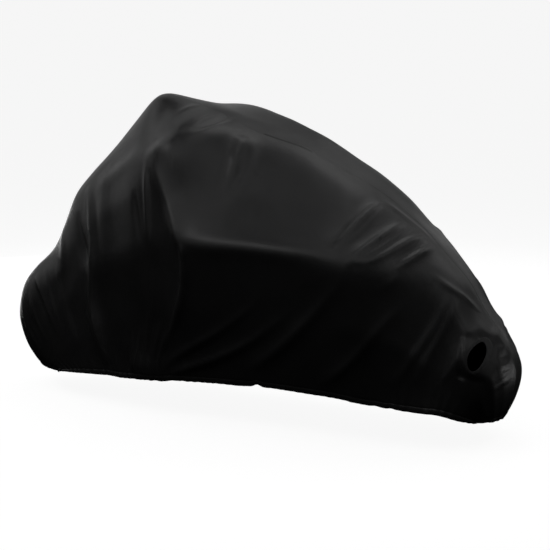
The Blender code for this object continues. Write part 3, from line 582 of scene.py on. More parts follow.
@dataclass
class Hem:
    """The elastic hem: a stitched casing whose cloth is gathered, with gathers that fade upwards.

    turned_columns and stitch_column count the lattice's columns from the hem's edge.
    """

    casing: float = 0.020
    puff: float = 0.0008
    groove_depth: float = 0.0009
    groove_width: float = 0.0022
    puff_fullness: float = 0.7
    pitch: float = 0.024
    pitch_range: tuple[float, float] = (0.55, 1.45)
    height: float = 0.0024
    height_range: tuple[float, float] = (0.45, 1.35)
    reach: float = 0.045
    reach_range: tuple[float, float] = (0.5, 1.5)
    gather_width: float = 0.36
    trough_share: float = 0.35
    trough_reach: float = 2.0
    turn: float = 0.0015
    turned_columns: tuple[int, ...] = (2, 3, 4, 5, 6)
    stitch_column: int = 8
    edge_blend: float = 0.035
    seed: int = 11

    def gathers(
        self,
        place: np.ndarray,
        along: np.ndarray,
        depth: np.ndarray,
        rng: np.random.Generator,
    ) -> np.ndarray:
        """Push of the gathers along one run of the hem.

        Each gather is a bell across and dies away upwards as an exponential of the distance from the hem.

        Args:
            place: distance along the hem, rows x 1 or 1 x columns.
            along: distance along the seam at the same places, for the table of pulls.
            depth: distance from the hem, rows x columns.
            rng: the source of the unevenness.

        Returns:
            Heights, rows x columns.
        """
        count = int(place.max() / self.pitch) + 2
        steps = self.pitch * rng.uniform(*self.pitch_range, count)
        centres = np.cumsum(steps) - steps[0]
        heights = self.height * rng.uniform(*self.height_range, count)
        reaches = self.reach * rng.uniform(*self.reach_range, count)
        pull_along, pull_height, pull_reach = np.array(PULLS).T
        centre_along = np.interp(centres, place.ravel(), along.ravel())
        heights *= np.interp(centre_along, pull_along, pull_height)
        reaches *= np.interp(centre_along, pull_along, pull_reach)
        total = np.zeros(depth.shape)
        for centre, step, height, reach in zip(centres, steps, heights, reaches):
            across = bell((place - centre) / (self.gather_width * step), self.trough_share, self.trough_reach)
            total += height * across * np.exp(-depth / reach)
        return total

    def shape(self, lattice: Lattice) -> None:
        """Gather the hem, let its edge dip and puff its casing above the stitched groove.

        The puff is half a sine wave across the casing, and the groove and the dips are bell curves.

        Args:
            lattice: one side, changed in place.
        """
        rng = np.random.default_rng(self.seed + lattice.side.value)
        hem_place = arc_length(lattice.points[:, -1:], 0)
        front_place = arc_length(lattice.points[:1], 1)
        rear_place = arc_length(lattice.points[-1:], 1)
        low_along = lattice.along[:, -1:]
        push = self.gathers(hem_place, low_along, lattice.from_side, rng)
        push += self.gathers(front_place, 0 * front_place, lattice.from_front, rng)
        push += self.gathers(rear_place, 0 * rear_place + low_along[-1], lattice.from_rear, rng)
        from_hem = lattice.from_hem
        within = np.clip(1 - from_hem / self.casing, 0.0, 1.0)
        push += self.puff * np.sin(np.pi * within) ** self.puff_fullness
        push -= self.groove_depth * np.exp(-((from_hem - self.casing) / self.groove_width) ** 2)
        push -= self.turn * np.clip(1 - from_hem / (2 * self.turn), 0.0, 1.0)
        lattice.push(push)
        dips = [dip for dip in DIPS if dip.side is lattice.side]
        drop = sum(dip.drop * np.exp(-((low_along - dip.along) / dip.width) ** 2) for dip in dips)
        edge = lattice.points[:, -1:] - lattice.points[:, -4:-3]
        edge = edge / np.linalg.norm(edge, axis=-1, keepdims=True)
        drop = drop * np.exp(-lattice.from_side / self.edge_blend)
        lattice.points = lattice.points + edge * drop[..., None]

    def turn_up(self, lattice: Lattice) -> tuple[np.ndarray, np.ndarray]:
        """Add the cloth that is turned up inside the hem, along all three runs of it.

        Args:
            lattice: the shaped side.

        Returns:
            The lattice's points and normals with the turned-up rows and columns added.
        """
        points, normals = lattice.points, lattice.normals
        inside = 2 * self.turn
        legs = np.array(self.turned_columns)
        low = points[:, -legs] - inside * normals[:, -legs]
        points = np.concatenate([points, low], axis=1)
        normals = np.concatenate([normals, normals[:, -legs]], axis=1)
        first = legs - 1
        front = points[first[::-1]] - inside * normals[first[::-1]]
        rear = points[-legs] - inside * normals[-legs]
        turned = np.concatenate([front, points, rear], axis=0)
        normals = np.concatenate([normals[first[::-1]], normals, normals[-legs]], axis=0)
        return turned, normals

    def stitch_line(self, lattice: Lattice) -> tuple[np.ndarray, np.ndarray]:
        """Points and normals along the casing's stitch line, from the seam at the front round to the rear.

        Args:
            lattice: the shaped side.

        Returns:
            Two arrays of points x 3.
        """
        front = self.crossing(lattice, lattice.from_front, lattice.from_side)
        rear = self.crossing(lattice, lattice.from_rear, lattice.from_side)
        column = lattice.points.shape[1] - self.stitch_column
        from_ends = np.minimum(lattice.from_front[:, column], lattice.from_rear[:, column])
        open_rows = from_ends > self.casing
        points = np.concatenate([front[0], lattice.points[open_rows, column], rear[0][::-1]])
        normals = np.concatenate([front[1], lattice.normals[open_rows, column], rear[1][::-1]])
        return points, normals

    def crossing(
        self,
        lattice: Lattice,
        distance: np.ndarray,
        aside: np.ndarray,
    ) -> tuple[np.ndarray, np.ndarray]:
        """Where each column is the casing's width from an end of the hem, leaving out those past the corner.

        Args:
            lattice: the shaped side.
            distance: distance from that end, rows x columns.
            aside: distance from the side's hem, rows x columns.

        Returns:
            Points and normals, columns x 3.
        """
        row = np.abs(distance - self.casing).argmin(axis=0)
        column = np.arange(distance.shape[1])
        clear = aside[row, column] > self.casing
        return lattice.points[row, column][clear], lattice.normals[row, column][clear]


@dataclass
class Seam:
    """The centre seam: the two panels' edges, turned in and sewn, with a row of stitches on each side."""

    lip: float = 0.0005
    allowance: tuple[float, ...] = (0.0075, 0.0045, 0.0018)
    stitch_column: float = 0.0050
    groove_depth: float = 0.0002
    groove_width: float = 0.0020

    def turn_in(self, points: np.ndarray, normals: np.ndarray, side: Side) -> tuple[np.ndarray, np.ndarray]:
        """Add the allowance that hangs inside against the other half's, and draw the first column to a lip.

        Args:
            points: rows x columns x 3.
            normals: the same for the normals.
            side: the half of the cover.

        Returns:
            Points and normals with the added columns in front.
        """
        depths = np.array(self.allowance)[None, :, None]
        edge = points[:, :1].copy()
        hanging = edge - normals[:, :1] * depths
        hanging[..., 1] = 0.0
        points = points.copy()
        points[:, 0, 1] = -side.value * self.lip
        return (
            np.concatenate([hanging, points], axis=1),
            np.concatenate([np.repeat(normals[:, :1], len(self.allowance), axis=1), normals], axis=1),
        )

    def shape(self, lattice: Lattice) -> None:
        """Press the row of stitches into the cloth beside the seam."""
        ratio = (lattice.down - self.stitch_column) / self.groove_width
        lattice.push(-self.groove_depth * np.exp(-ratio ** 2))

    def stitch_line(self, lattice: Lattice) -> tuple[np.ndarray, np.ndarray]:
        """Points and normals along the row of stitches, between the seam's first two columns.

        Args:
            lattice: the shaped side.

        Returns:
            Two arrays of points x 3.
        """
        share = (self.stitch_column / lattice.down[:, 1])[:, None]
        points = lattice.points[:, 0] * (1 - share) + lattice.points[:, 1] * share
        return points, lattice.normals[:, 0]


@dataclass
class Mesh:
    """Points and faces of one closed piece, its pattern's coordinates and how far each point stands out."""

    points: np.ndarray
    faces: list[list[int]]
    pattern: np.ndarray
    crest: np.ndarray
    sharp_angle: float = 62.0

    def add_object(self, name: str, material: bpy.types.Material, slot: str) -> bpy.types.Object:
        """Put the mesh into the scene, riding on the cover's only body.

        Args:
            name: the piece's name.
            material: its finish.
            slot: the record's material slot; not used.

        Returns:
            The new object.
        """
        mesh = bpy.data.meshes.new(name)
        mesh.from_pydata(self.points.astype(np.float32), [], self.faces)
        corner = np.empty(len(mesh.loops), dtype=np.int32)
        mesh.loops.foreach_get("vertex_index", corner)
        layer = mesh.uv_layers.new(name="pattern")
        layer.data.foreach_set("uv", self.pattern[corner].astype(np.float32).ravel())
        crest = mesh.attributes.new("crest", "FLOAT", "POINT")
        crest.data.foreach_set("value", self.crest.astype(np.float32))
        mesh.shade_smooth()
        mesh.set_sharp_from_angle(angle=np.radians(self.sharp_angle))
        mesh.materials.append(material)
        thing = bpy.data.objects.new(name, mesh)
        bpy.context.scene.collection.objects.link(thing)
        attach(thing, "root")
        LOG.info("built %s: %d points, %d faces", name, len(self.points), len(self.faces))
        return thing


def lattice_faces(
    rows: int,
    columns: int,
    flip: bool,
    wrap_rows: bool = False,
    wrap_columns: bool = False,
) -> np.ndarray:
    """Four-sided faces of a lattice of points numbered row by row.

    Args:
        rows: the number of rows.
        columns: the number of columns.
        flip: turn the faces round.
        wrap_rows: join the last row to the first.
        wrap_columns: join the last column to the first.

    Returns:
        faces x 4.
    """
    row_steps = np.arange(rows if wrap_rows else rows - 1)
    column_steps = np.arange(columns if wrap_columns else columns - 1)
    i, j = np.meshgrid(row_steps, column_steps, indexing="ij")
    after = (i + 1) % rows
    beside = (j + 1) % columns
    corners = [i * columns + j, i * columns + beside, after * columns + beside, after * columns + j]
    faces = np.stack([corner.ravel() for corner in corners], axis=1)
    return faces[:, ::-1] if flip else faces


def mirrored(count: int, added: int, length: int) -> np.ndarray:
    """Which row or column of the open sheet lies at each of the turned sheet's, mirrored at both edges.

    Args:
        count: rows or columns with the turned cloth.
        added: how many of them come before the first edge.
        length: rows or columns of the open sheet.

    Returns:
        A number for each.
    """
    place = np.abs(np.arange(count) - added)
    return np.where(place > length - 1, 2 * (length - 1) - place, place)


def thin_sheet(
    points: np.ndarray,
    normals: np.ndarray,
    faces: np.ndarray,
    thickness: float,
) -> tuple[np.ndarray, np.ndarray]:
    """Give an open surface two faces and a rim all round.

    Args:
        points: points x 3.
        normals: the same for the normals.
        faces: faces x 4, seen from outside.
        thickness: the distance between the two faces.

    Returns:
        The points of both faces, and the faces with the rim.
    """
    count = len(points)
    both = np.concatenate([points + normals * 0.5 * thickness, points - normals * 0.5 * thickness])
    start = faces.ravel()
    stop = np.roll(faces, -1, axis=1).ravel()
    alone = ~np.isin(start * count + stop, stop * count + start)
    rim = np.stack([stop[alone], start[alone], start[alone] + count, stop[alone] + count], axis=1)
    return both, np.concatenate([faces, faces[:, ::-1] + count, rim])


@dataclass
class LockHole:
    """The lock hole low at the rear of a panel: a drop-shaped cut, its edge bound with tape and stitched.

    The cloth round the hole is smoothed to a quadratic in x and z, which the tape follows.
    """

    side: Side
    axis_x: float = 0.852 - REST_X
    top_z: float = 0.368 - REST_Z
    width: float = 0.060
    height: float = 0.104
    pinch: float = 0.30
    blend: float = 0.030
    tape_width: float = 0.0095
    tape_lap: float = 0.0025
    tape_thickness: float = 0.0022
    tape_edge: float = 0.7
    tape_face: float = 0.55
    rib_count: int = 60
    rib_share: float = 0.04
    stitch_inset: float = 0.0012
    path_steps: int = 120
    profile_steps: int = 18
    outline_steps: int = 720

    @property
    def middle_z(self) -> float:
        """Height of the hole's middle."""
        return self.top_z - 0.5 * self.height

    def outline(self, turn: np.ndarray, inset: np.ndarray) -> tuple[np.ndarray, np.ndarray]:
        """The drop's outline: round below and pointed above.

        Args:
            turn: angle round the hole from its top.
            inset: how far the outline is drawn in.

        Returns:
            x and z.
        """
        point = np.clip(np.cos(turn), 0.0, 1.0)
        x = (0.5 * self.width - inset) * np.sin(turn) * (1 - self.pinch * point ** 2)
        z = (0.5 * self.height - inset) * np.cos(turn)
        return x + self.axis_x, z + self.middle_z

    def share(self, x: np.ndarray, z: np.ndarray) -> np.ndarray:
        """How far each place is from the hole's middle, as a share of the outline's distance that way.

        Args:
            x: the places' x.
            z: the places' z.

        Returns:
            Shares, below one inside the hole.
        """
        turn = np.linspace(0.0, 2 * np.pi, self.outline_steps + 1)
        edge_x, edge_z = self.outline(turn, np.zeros_like(turn))
        angle = np.unwrap(np.arctan2(edge_x - self.axis_x, edge_z - self.middle_z))
        wanted = np.arctan2(x - self.axis_x, z - self.middle_z) % (2 * np.pi)
        radius = np.interp(wanted, angle, np.hypot(edge_x - self.axis_x, edge_z - self.middle_z))
        return np.hypot(x - self.axis_x, z - self.middle_z) / radius

    @staticmethod
    def terms(x: np.ndarray, z: np.ndarray) -> np.ndarray:
        """The quadratic's six terms at each place."""
        return np.stack([np.ones_like(x), x, z, x * x, x * z, z * z], axis=-1)

    def smooth(self, lattice: Lattice) -> np.ndarray:
        """Draw the cloth round the hole onto the quadratic that fits it best.

        Args:
            lattice: the shaped side, changed in place.

        Returns:
            The quadratic's factors, for y, with x and z measured from the hole's middle.
        """
        x = lattice.points[..., 0] - self.axis_x
        z = lattice.points[..., 2] - self.middle_z
        y = lattice.points[..., 1]
        past_side = np.maximum(np.abs(x) - 0.5 * self.width, 0)
        past_end = np.maximum(np.abs(z) - 0.5 * self.height, 0)
        beyond = np.hypot(past_side, past_end)
        chosen = beyond < self.blend
        factors = np.linalg.lstsq(self.terms(x[chosen], z[chosen]), y[chosen], rcond=None)[0]
        weight = 1 - smooth_step(beyond, 0.0, self.blend)
        lattice.points[..., 1] = y + weight * (self.terms(x, z) @ factors - y)
        return factors

    def on_cloth(self, x: np.ndarray, z: np.ndarray, factors: np.ndarray) -> tuple[np.ndarray, np.ndarray]:
        """Points and normals of the quadratic, whose slopes are its own derivatives.

        Args:
            x: the places' x.
            z: the places' z.
            factors: the quadratic's factors.

        Returns:
            Two arrays with the coordinates last.
        """
        dx = x - self.axis_x
        dz = z - self.middle_z
        y = self.terms(dx, dz) @ factors
        slope_x = factors[1] + 2 * factors[3] * dx + factors[4] * dz
        slope_z = factors[2] + factors[4] * dx + 2 * factors[5] * dz
        normal = np.stack([slope_x, -np.ones_like(dx), slope_z], axis=-1) * self.side.value
        return np.stack([x, y, z], axis=-1), normal / np.linalg.norm(normal, axis=-1, keepdims=True)

    def cut(self, points: np.ndarray, faces: np.ndarray) -> tuple[np.ndarray, np.ndarray]:
        """Take out the faces inside the drop and draw the points left inside it onto its outline.

        Args:
            points: points x 3.
            faces: faces x 4.

        Returns:
            The moved points, and the faces that are left.
        """
        outward = points[:, 1] * self.side.value < 0
        share = self.share(points[:, 0], points[:, 2])
        middle = points[faces].mean(axis=1)
        open_face = (self.share(middle[:, 0], middle[:, 2]) < 1.0) & outward[faces].all(axis=1)
        kept = faces[~open_face]
        rim = np.zeros(len(points), dtype=bool)
        rim[np.unique(faces[open_face])] = True
        held = np.zeros(len(points), dtype=bool)
        held[np.unique(kept)] = True
        moved = rim & held
        points = points.copy()
        centre = np.array([self.axis_x, self.middle_z])
        points[moved, ::2] = centre + (points[moved, ::2] - centre) / share[moved, None]
        return points, kept

    def tape(self, factors: np.ndarray) -> Mesh:
        """The folded tape round the hole: a flat rounded profile carried along the outline.

        The profile is an ellipse whose cosine and sine are raised to powers below one, which squares it off,
        and a low sine wave along the outline ribs it.

        Args:
            factors: the quadratic that the cloth follows.

        Returns:
            The tape's closed mesh.
        """
        turn = np.linspace(0.0, 2 * np.pi, self.path_steps, endpoint=False)
        round_profile = np.linspace(0.0, 2 * np.pi, self.profile_steps, endpoint=False)
        half = 0.5 * (self.tape_width + self.tape_lap)
        cosine, sine = np.cos(round_profile), np.sin(round_profile)
        across = half * np.sign(cosine) * np.abs(cosine) ** self.tape_edge + half - self.tape_lap
        lift = 0.5 * self.tape_thickness * np.sign(sine) * np.abs(sine) ** self.tape_face
        ribs = 1 + self.rib_share * np.sin(self.rib_count * turn)
        x, z = self.outline(turn[:, None], across[None])
        points, normals = self.on_cloth(x, z, factors)
        points = points + normals * (lift[None] * ribs[:, None])[..., None]
        faces = lattice_faces(
            self.path_steps, self.profile_steps, self.side is FAR, wrap_rows=True, wrap_columns=True,
        )
        length = arc_length(np.concatenate([points[:, :1], points[:1, :1]]), 0)[:-1]
        pattern = np.stack(np.broadcast_arrays(length, across[None]), axis=-1).reshape(-1, 2)
        flat = points.reshape(-1, 3)
        return Mesh(flat, faces.tolist(), pattern, np.zeros(len(flat)))

    def stitch_line(self, factors: np.ndarray) -> tuple[np.ndarray, np.ndarray]:
        """Points and normals along the tape's stitches, on its outer face near its outer edge.

        Args:
            factors: the quadratic that the cloth follows.

        Returns:
            Two arrays of points x 3.
        """
        turn = np.linspace(0.0, 2 * np.pi, 4 * self.path_steps + 1)
        x, z = self.outline(turn, np.full_like(turn, self.stitch_inset))
        points, normals = self.on_cloth(x, z, factors)
        return points + normals * 0.5 * self.tape_thickness, normals


@dataclass
class StitchRow:
    """A row of stitches: short capsules, each a ring of sides carried along a half ellipse."""

    pitch: float = 0.0046
    length: float = 0.0034
    radius: float = 0.00040
    blunt: float = 1.05
    sink: float = 1.4
    aim_share: float = 0.3
    sides: int = 6
    rings: int = 5

    @staticmethod
    def sample(walked: np.ndarray, values: np.ndarray, place: np.ndarray) -> np.ndarray:
        """Values at some distances along a path.

        Args:
            walked: the distance to each point of the path.
            values: points x 3, a value at each point.
            place: the distances.

        Returns:
            distances x 3, linear between the points.
        """
        return np.stack([np.interp(place, walked, column) for column in values.T], axis=1)

    def capsules(self, path: np.ndarray, normals: np.ndarray) -> Mesh:
        """Lay stitches end to end along a path.

        Args:
            path: points x 3.
            normals: the cloth's normals there.

        Returns:
            All the stitches as one mesh.
        """
        walked = np.concatenate([[0.0], np.cumsum(np.linalg.norm(np.diff(path, axis=0), axis=1))])
        place = np.arange(0.5 * self.pitch, walked[-1], self.pitch)
        aim = self.aim_share * self.pitch
        middle = self.sample(walked, path, place)
        up = self.sample(walked, normals, place)
        tangent = self.sample(walked, path, place + aim) - self.sample(walked, path, place - aim)
        tangent /= np.linalg.norm(tangent, axis=1, keepdims=True)
        across = np.cross(up, tangent)
        across /= np.linalg.norm(across, axis=1, keepdims=True)
        up = np.cross(tangent, across)
        travel = np.linspace(-1.0, 1.0, self.rings)[:, None, None]
        turn = np.linspace(0.0, 2 * np.pi, self.sides, endpoint=False)[:, None]
        girth = self.radius * np.sqrt(self.blunt - travel ** 2)
        middle, tangent, across, up = (vector[:, None, None] for vector in (middle, tangent, across, up))
        spine = middle + tangent * (0.5 * self.length * travel) - up * (self.sink * self.radius * travel ** 2)
        points = (spine + across * (girth * np.cos(turn)) + up * (girth * np.sin(turn))).reshape(-1, 3)
        each = self.rings * self.sides
        wall = lattice_faces(self.rings, self.sides, flip=False, wrap_columns=True)
        ends = np.stack([np.arange(self.sides), np.arange(each - 1, each - 1 - self.sides, -1)])
        shift = (np.arange(len(place)) * each)[:, None, None]
        faces = (wall + shift).reshape(-1, 4).tolist()
        faces += (ends + shift).reshape(-1, self.sides).tolist()
        return Mesh(points, faces, points[:, [0, 2]], np.zeros(len(points)))


@dataclass(frozen=True)
class Ripple:
    """Slight unevenness all over the cloth: a sum of plane waves in space."""

    waves: int = 26
    shortest: float = 0.07
    longest: float = 0.30
    height: float = 0.0011
    seed: int = 5

    def heights(self, points: np.ndarray) -> np.ndarray:
        """Heights of the cloth: each wave's height goes with its length.

        Args:
            points: rows x columns x 3.

        Returns:
            rows x columns.
        """
        rng = np.random.default_rng(self.seed)
        lengths = np.exp(rng.uniform(np.log(self.shortest), np.log(self.longest), self.waves))
        directions = rng.normal(size=(self.waves, 3))
        directions /= np.linalg.norm(directions, axis=1, keepdims=True)
        phases = rng.uniform(0.0, 2 * np.pi, self.waves)
        total = np.zeros(points.shape[:2])
        for length, direction, phase in zip(lengths, directions, phases):
            total += length / self.longest * np.cos(points @ direction * (2 * np.pi / length) + phase)
        return total * self.height / np.sqrt(self.waves)


# Metres from crest to crest of a wave texture at scale one.
WAVE_PERIOD = 2 * np.pi / 20


class NodeTree:
    """A new material's nodes: its Principled shader and the patterns that feed it."""

    def __init__(self, name: str) -> None:
        """Start a material that has only its shader.

        Args:
            name: the material's name.
        """
        self.material = bpy.data.materials.new(name)
        self.material.use_nodes = True
        self.tree = self.material.node_tree
        self.shader = self.tree.nodes["Principled BSDF"]
        self.space = self.tree.nodes.new("ShaderNodeTexCoord").outputs["Object"]

    def link(self, output: bpy.types.NodeSocket, socket: bpy.types.NodeSocket) -> None:
        """Link one node's output to another's socket."""
        self.tree.links.new(output, socket)

    def noise(self, size: float, detail: float) -> bpy.types.NodeSocket:
        """Add a noise texture in space.

        Args:
            size: metres from patch to patch.
            detail: how many finer layers it has.

        Returns:
            Its value's socket.
        """
        node = self.tree.nodes.new("ShaderNodeTexNoise")
        node.inputs["Scale"].default_value = 1 / size
        node.inputs["Detail"].default_value = detail
        self.link(self.space, node.inputs["Vector"])
        return node.outputs["Fac"]

    def spread(self, value: bpy.types.NodeSocket, **limits: float) -> bpy.types.NodeSocket:
        """Map a value from one range to another.

        Args:
            value: its socket.
            limits: From_Min, From_Max, To_Min or To_Max, where they aren't zero or one.

        Returns:
            The result's socket.
        """
        node = self.tree.nodes.new("ShaderNodeMapRange")
        for name, limit in limits.items():
            node.inputs[name.replace("_", " ")].default_value = limit
        self.link(value, node.inputs["Value"])
        return node.outputs["Result"]

    def tone(
        self,
        factor: bpy.types.NodeSocket,
        colour: tuple[float, ...],
        paler_tone: tuple[float, ...],
    ) -> None:
        """Colour the shader between two colours.

        Args:
            factor: which of the two, from zero to one.
            colour: the colour at zero.
            paler_tone: the colour at one.
        """
        node = self.tree.nodes.new("ShaderNodeMix")
        node.data_type = "RGBA"
        node.inputs["A"].default_value = colour
        node.inputs["B"].default_value = paler_tone
        self.link(factor, node.inputs["Factor"])
        self.link(node.outputs["Result"], self.shader.inputs["Base Color"])

    def bump(self, height: bpy.types.NodeSocket, strength: float, depth: float) -> None:
        """Bump the shader's normal, on top of any bump that it has.

        Args:
            height: the height's socket.
            strength: how much of it counts.
            depth: metres that a height of one stands for.
        """
        normal = self.shader.inputs["Normal"]
        node = self.tree.nodes.new("ShaderNodeBump")
        node.inputs["Strength"].default_value = strength
        node.inputs["Distance"].default_value = depth
        self.link(height, node.inputs["Height"])
        if normal.is_linked:
            self.link(normal.links[0].from_socket, node.inputs["Normal"])
        self.link(node.outputs["Normal"], normal)

    def weave(self, thread: float) -> bpy.types.NodeSocket:
        """Add a plain weave on the piece's own pattern coordinates: the product of two rows of waves.

        Args:
            thread: metres from one thread to the next.

        Returns:
            The height's socket.
        """
        place = self.tree.nodes.new("ShaderNodeUVMap")
        place.uv_map = "pattern"
        product = self.tree.nodes.new("ShaderNodeMath")
        product.operation = "MULTIPLY"
        for slot, direction in enumerate(("X", "Y")):
            wave = self.tree.nodes.new("ShaderNodeTexWave")
            wave.bands_direction = direction
            wave.inputs["Scale"].default_value = WAVE_PERIOD / thread
            self.link(place.outputs["UV"], wave.inputs["Vector"])
            self.link(wave.outputs["Fac"], product.inputs[slot])
        return product.outputs["Value"]


@dataclass(frozen=True)
class ClothFinish:
    """Thin black plain-woven polyester with a dull sheen, a little paler in random patches, and painted paler
    on its fold crests as a painted highlight.
    """

    name: str = "black_cloth"
    colour: tuple[float, ...] = (0.0165, 0.0165, 0.0170, 1.0)
    # The paler colour: random patches, and the painted highlight on the fold crests.
    paler_tone: tuple[float, ...] = (0.0245, 0.0245, 0.0250, 1.0)
    patch_size: float = 0.11
    patch_detail: float = 3.0
    # Fold heights from crest_low to crest_high paint the crests paler, a painted highlight, by up to
    # crest_share.
    crest_low: float = 0.002
    crest_high: float = 0.016
    crest_share: float = 0.5
    roughness: tuple[float, float] = (0.30, 0.40)
    sheen_size: float = 0.05
    sheen_detail: float = 4.0
    thread: float = 0.0011
    weave_depth: float = 0.00012
    weave_strength: float = 0.6
    crumple_size: float = 0.045
    crumple_detail: float = 3.5
    crumple_depth: float = 0.0016
    crumple_strength: float = 0.35

    def material(self) -> bpy.types.Material:
        """Build the material: woven bump on the pattern's coordinates, crumples and uneven tone in space,
        with the fold crests painted paler as a painted highlight.

        Returns:
            The material.
        """
        nodes = NodeTree(self.name)
        # Painted highlight: the higher a fold's crest, the paler its colour; noise patches add random tone.
        crest = nodes.tree.nodes.new("ShaderNodeAttribute")
        crest.attribute_name = "crest"
        patch_and_crest_highlight = nodes.tree.nodes.new("ShaderNodeMath")
        patch_and_crest_highlight.operation = "MULTIPLY_ADD"
        patch_and_crest_highlight.use_clamp = True
        raised = nodes.spread(crest.outputs["Fac"], From_Min=self.crest_low, From_Max=self.crest_high)
        nodes.link(raised, patch_and_crest_highlight.inputs[0])
        patch_and_crest_highlight.inputs[1].default_value = self.crest_share
        nodes.link(nodes.noise(self.patch_size, self.patch_detail), patch_and_crest_highlight.inputs[2])
        nodes.tone(patch_and_crest_highlight.outputs["Value"], self.colour, self.paler_tone)
        sheen = nodes.noise(self.sheen_size, self.sheen_detail)
        gloss = nodes.spread(sheen, To_Min=self.roughness[0], To_Max=self.roughness[1])
        nodes.link(gloss, nodes.shader.inputs["Roughness"])
        crumple = nodes.noise(self.crumple_size, self.crumple_detail)
        nodes.bump(crumple, self.crumple_strength, self.crumple_depth)
        nodes.bump(nodes.weave(self.thread), self.weave_strength, self.weave_depth)
        return nodes.material


@dataclass(frozen=True)
class TapeFinish:
    """Black ribbed tape or thread, uneven in tone."""

    name: str = "black_tape"
    colour: tuple[float, ...] = (0.013, 0.013, 0.0135, 1.0)
    paler_tone: tuple[float, ...] = (0.021, 0.021, 0.0215, 1.0)
    patch_size: float = 0.0025
    patch_detail: float = 2.0
    roughness: float = 0.58
    rib: float = 0.0012
    rib_depth: float = 0.0003
    rib_strength: float = 0.8

    def material(self) -> bpy.types.Material:
        """Build the material.

        Returns:
            The material.
        """
        nodes = NodeTree(self.name)
        nodes.shader.inputs["Roughness"].default_value = self.roughness
        nodes.tone(nodes.noise(self.patch_size, self.patch_detail), self.colour, self.paler_tone)
        nodes.bump(nodes.weave(self.rib), self.rib_strength, self.rib_depth)
        return nodes.material


class Finishes(NamedTuple):
    """The cover's materials."""

    cloth: bpy.types.Material
    tape: bpy.types.Material
    thread: bpy.types.Material


@dataclass
class SidePanel:
    """One side panel of the cover, with its hem, its half of the seam and its bound lock hole."""

    side: Side
    drape: Drape
    grid: Grid
    thickness: float = 0.0007
    flat: tuple[float, float] = (1.22, 2.20)
    area: float = 1.86
    hem: Hem = field(default_factory=Hem)
    seam: Seam = field(default_factory=Seam)
    ripple: Ripple = field(default_factory=Ripple)
    stitches: StitchRow = field(default_factory=StitchRow)

    def build(self, finishes: Finishes) -> None:
        """Make the panel, its tape and its stitches, which stand for their two nodes of the frame.

        Args:
            finishes: the cover's materials.
        """
        name = self.side.name.lower()
        lattice = self.drape.lattice(self.side, self.grid)
        lattice.push(self.ripple.heights(lattice.points))
        hole = LockHole(self.side)
        self.hem.shape(lattice)
        self.seam.shape(lattice)
        factors = hole.smooth(lattice)
        cloth = self.cloth(lattice, hole).add_object(f"{name}_side_cloth", finishes.cloth, "cloth")
        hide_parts(f"panel_{name}")
        tape = hole.tape(factors).add_object(f"{name}_lock_hole_tape", finishes.tape, "binding")
        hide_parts(f"lock_hole_edge_{name}")
        rows = {
            "hem": self.hem.stitch_line(lattice),
            "seam": self.seam.stitch_line(lattice),
            "lock_hole": hole.stitch_line(factors),
        }
        for place, line in rows.items():
            self.stitches.capsules(*line).add_object(f"{name}_{place}_stitches", finishes.thread, "binding")

    def cloth(self, lattice: Lattice, hole: LockHole) -> Mesh:
        """The panel's closed mesh.

        Args:
            lattice: the shaped side.
            hole: its lock hole.

        Returns:
            The mesh.
        """
        lattice.normals = grid_normals(lattice.points, self.side)
        points, normals = self.hem.turn_up(lattice)
        points, normals = self.seam.turn_in(points, normals, self.side)
        rows, columns = points.shape[:2]
        open_rows, open_columns = lattice.points.shape[:2]
        row = mirrored(rows, (rows - open_rows) // 2, open_rows)[:, None]
        column = mirrored(columns, len(self.seam.allowance), open_columns)[None]
        pattern = np.stack([lattice.along[row, column], lattice.down[row, column]], axis=-1).reshape(-1, 2)
        crest = lattice.crest[row, column].ravel()
        faces = lattice_faces(rows, columns, self.side is FAR)
        cut_points, faces = hole.cut(points.reshape(-1, 3), faces)
        both, faces = thin_sheet(cut_points, normals.reshape(-1, 3), faces, self.thickness)
        used = np.unique(faces)
        number = np.full(len(both), -1)
        number[used] = np.arange(len(used))
        pattern = np.concatenate([pattern, pattern])[used]
        crest = np.concatenate([crest, crest])[used]
        return Mesh(both[used], number[faces].tolist(), pattern, crest)


class Softbox(NamedTuple):
    """One round soft light that faces the cover's middle."""

    azimuth: float
    elevation: float
    watts: float


# Made by another program: 18 rows are what a least-squares fit to the photo's brightness gave, and the other
# five (90 15, 150 3, 120 -9, 262 3 and 0 90) were set afterwards.
SOFTBOXES = tuple(Softbox(*row) for row in (
    # azimuth, elevation, watts
    (0, 65, 2.7), (60, 65, 1.8), (180, 65, 7.2), (0, 40, 3.6), (45, 40, 4.5), (90, 40, 3.6),
    (135, 40, 6.0), (180, 40, 2.1), (225, 40, 3.6), (270, 40, 5.1), (315, 40, 8.7), (180, 15, 3.0),
    (240, 15, 3.3), (270, 15, 1.2), (210, 15, 3.3), (150, 15, 2.1), (330, 15, 1.8), (90, 15, 0.9),
    (150, 3, 0.6), (120, -9, 4.2), (240, -9, 4.8), (262, 3, 0.9), (0, 90, 3.0),
))


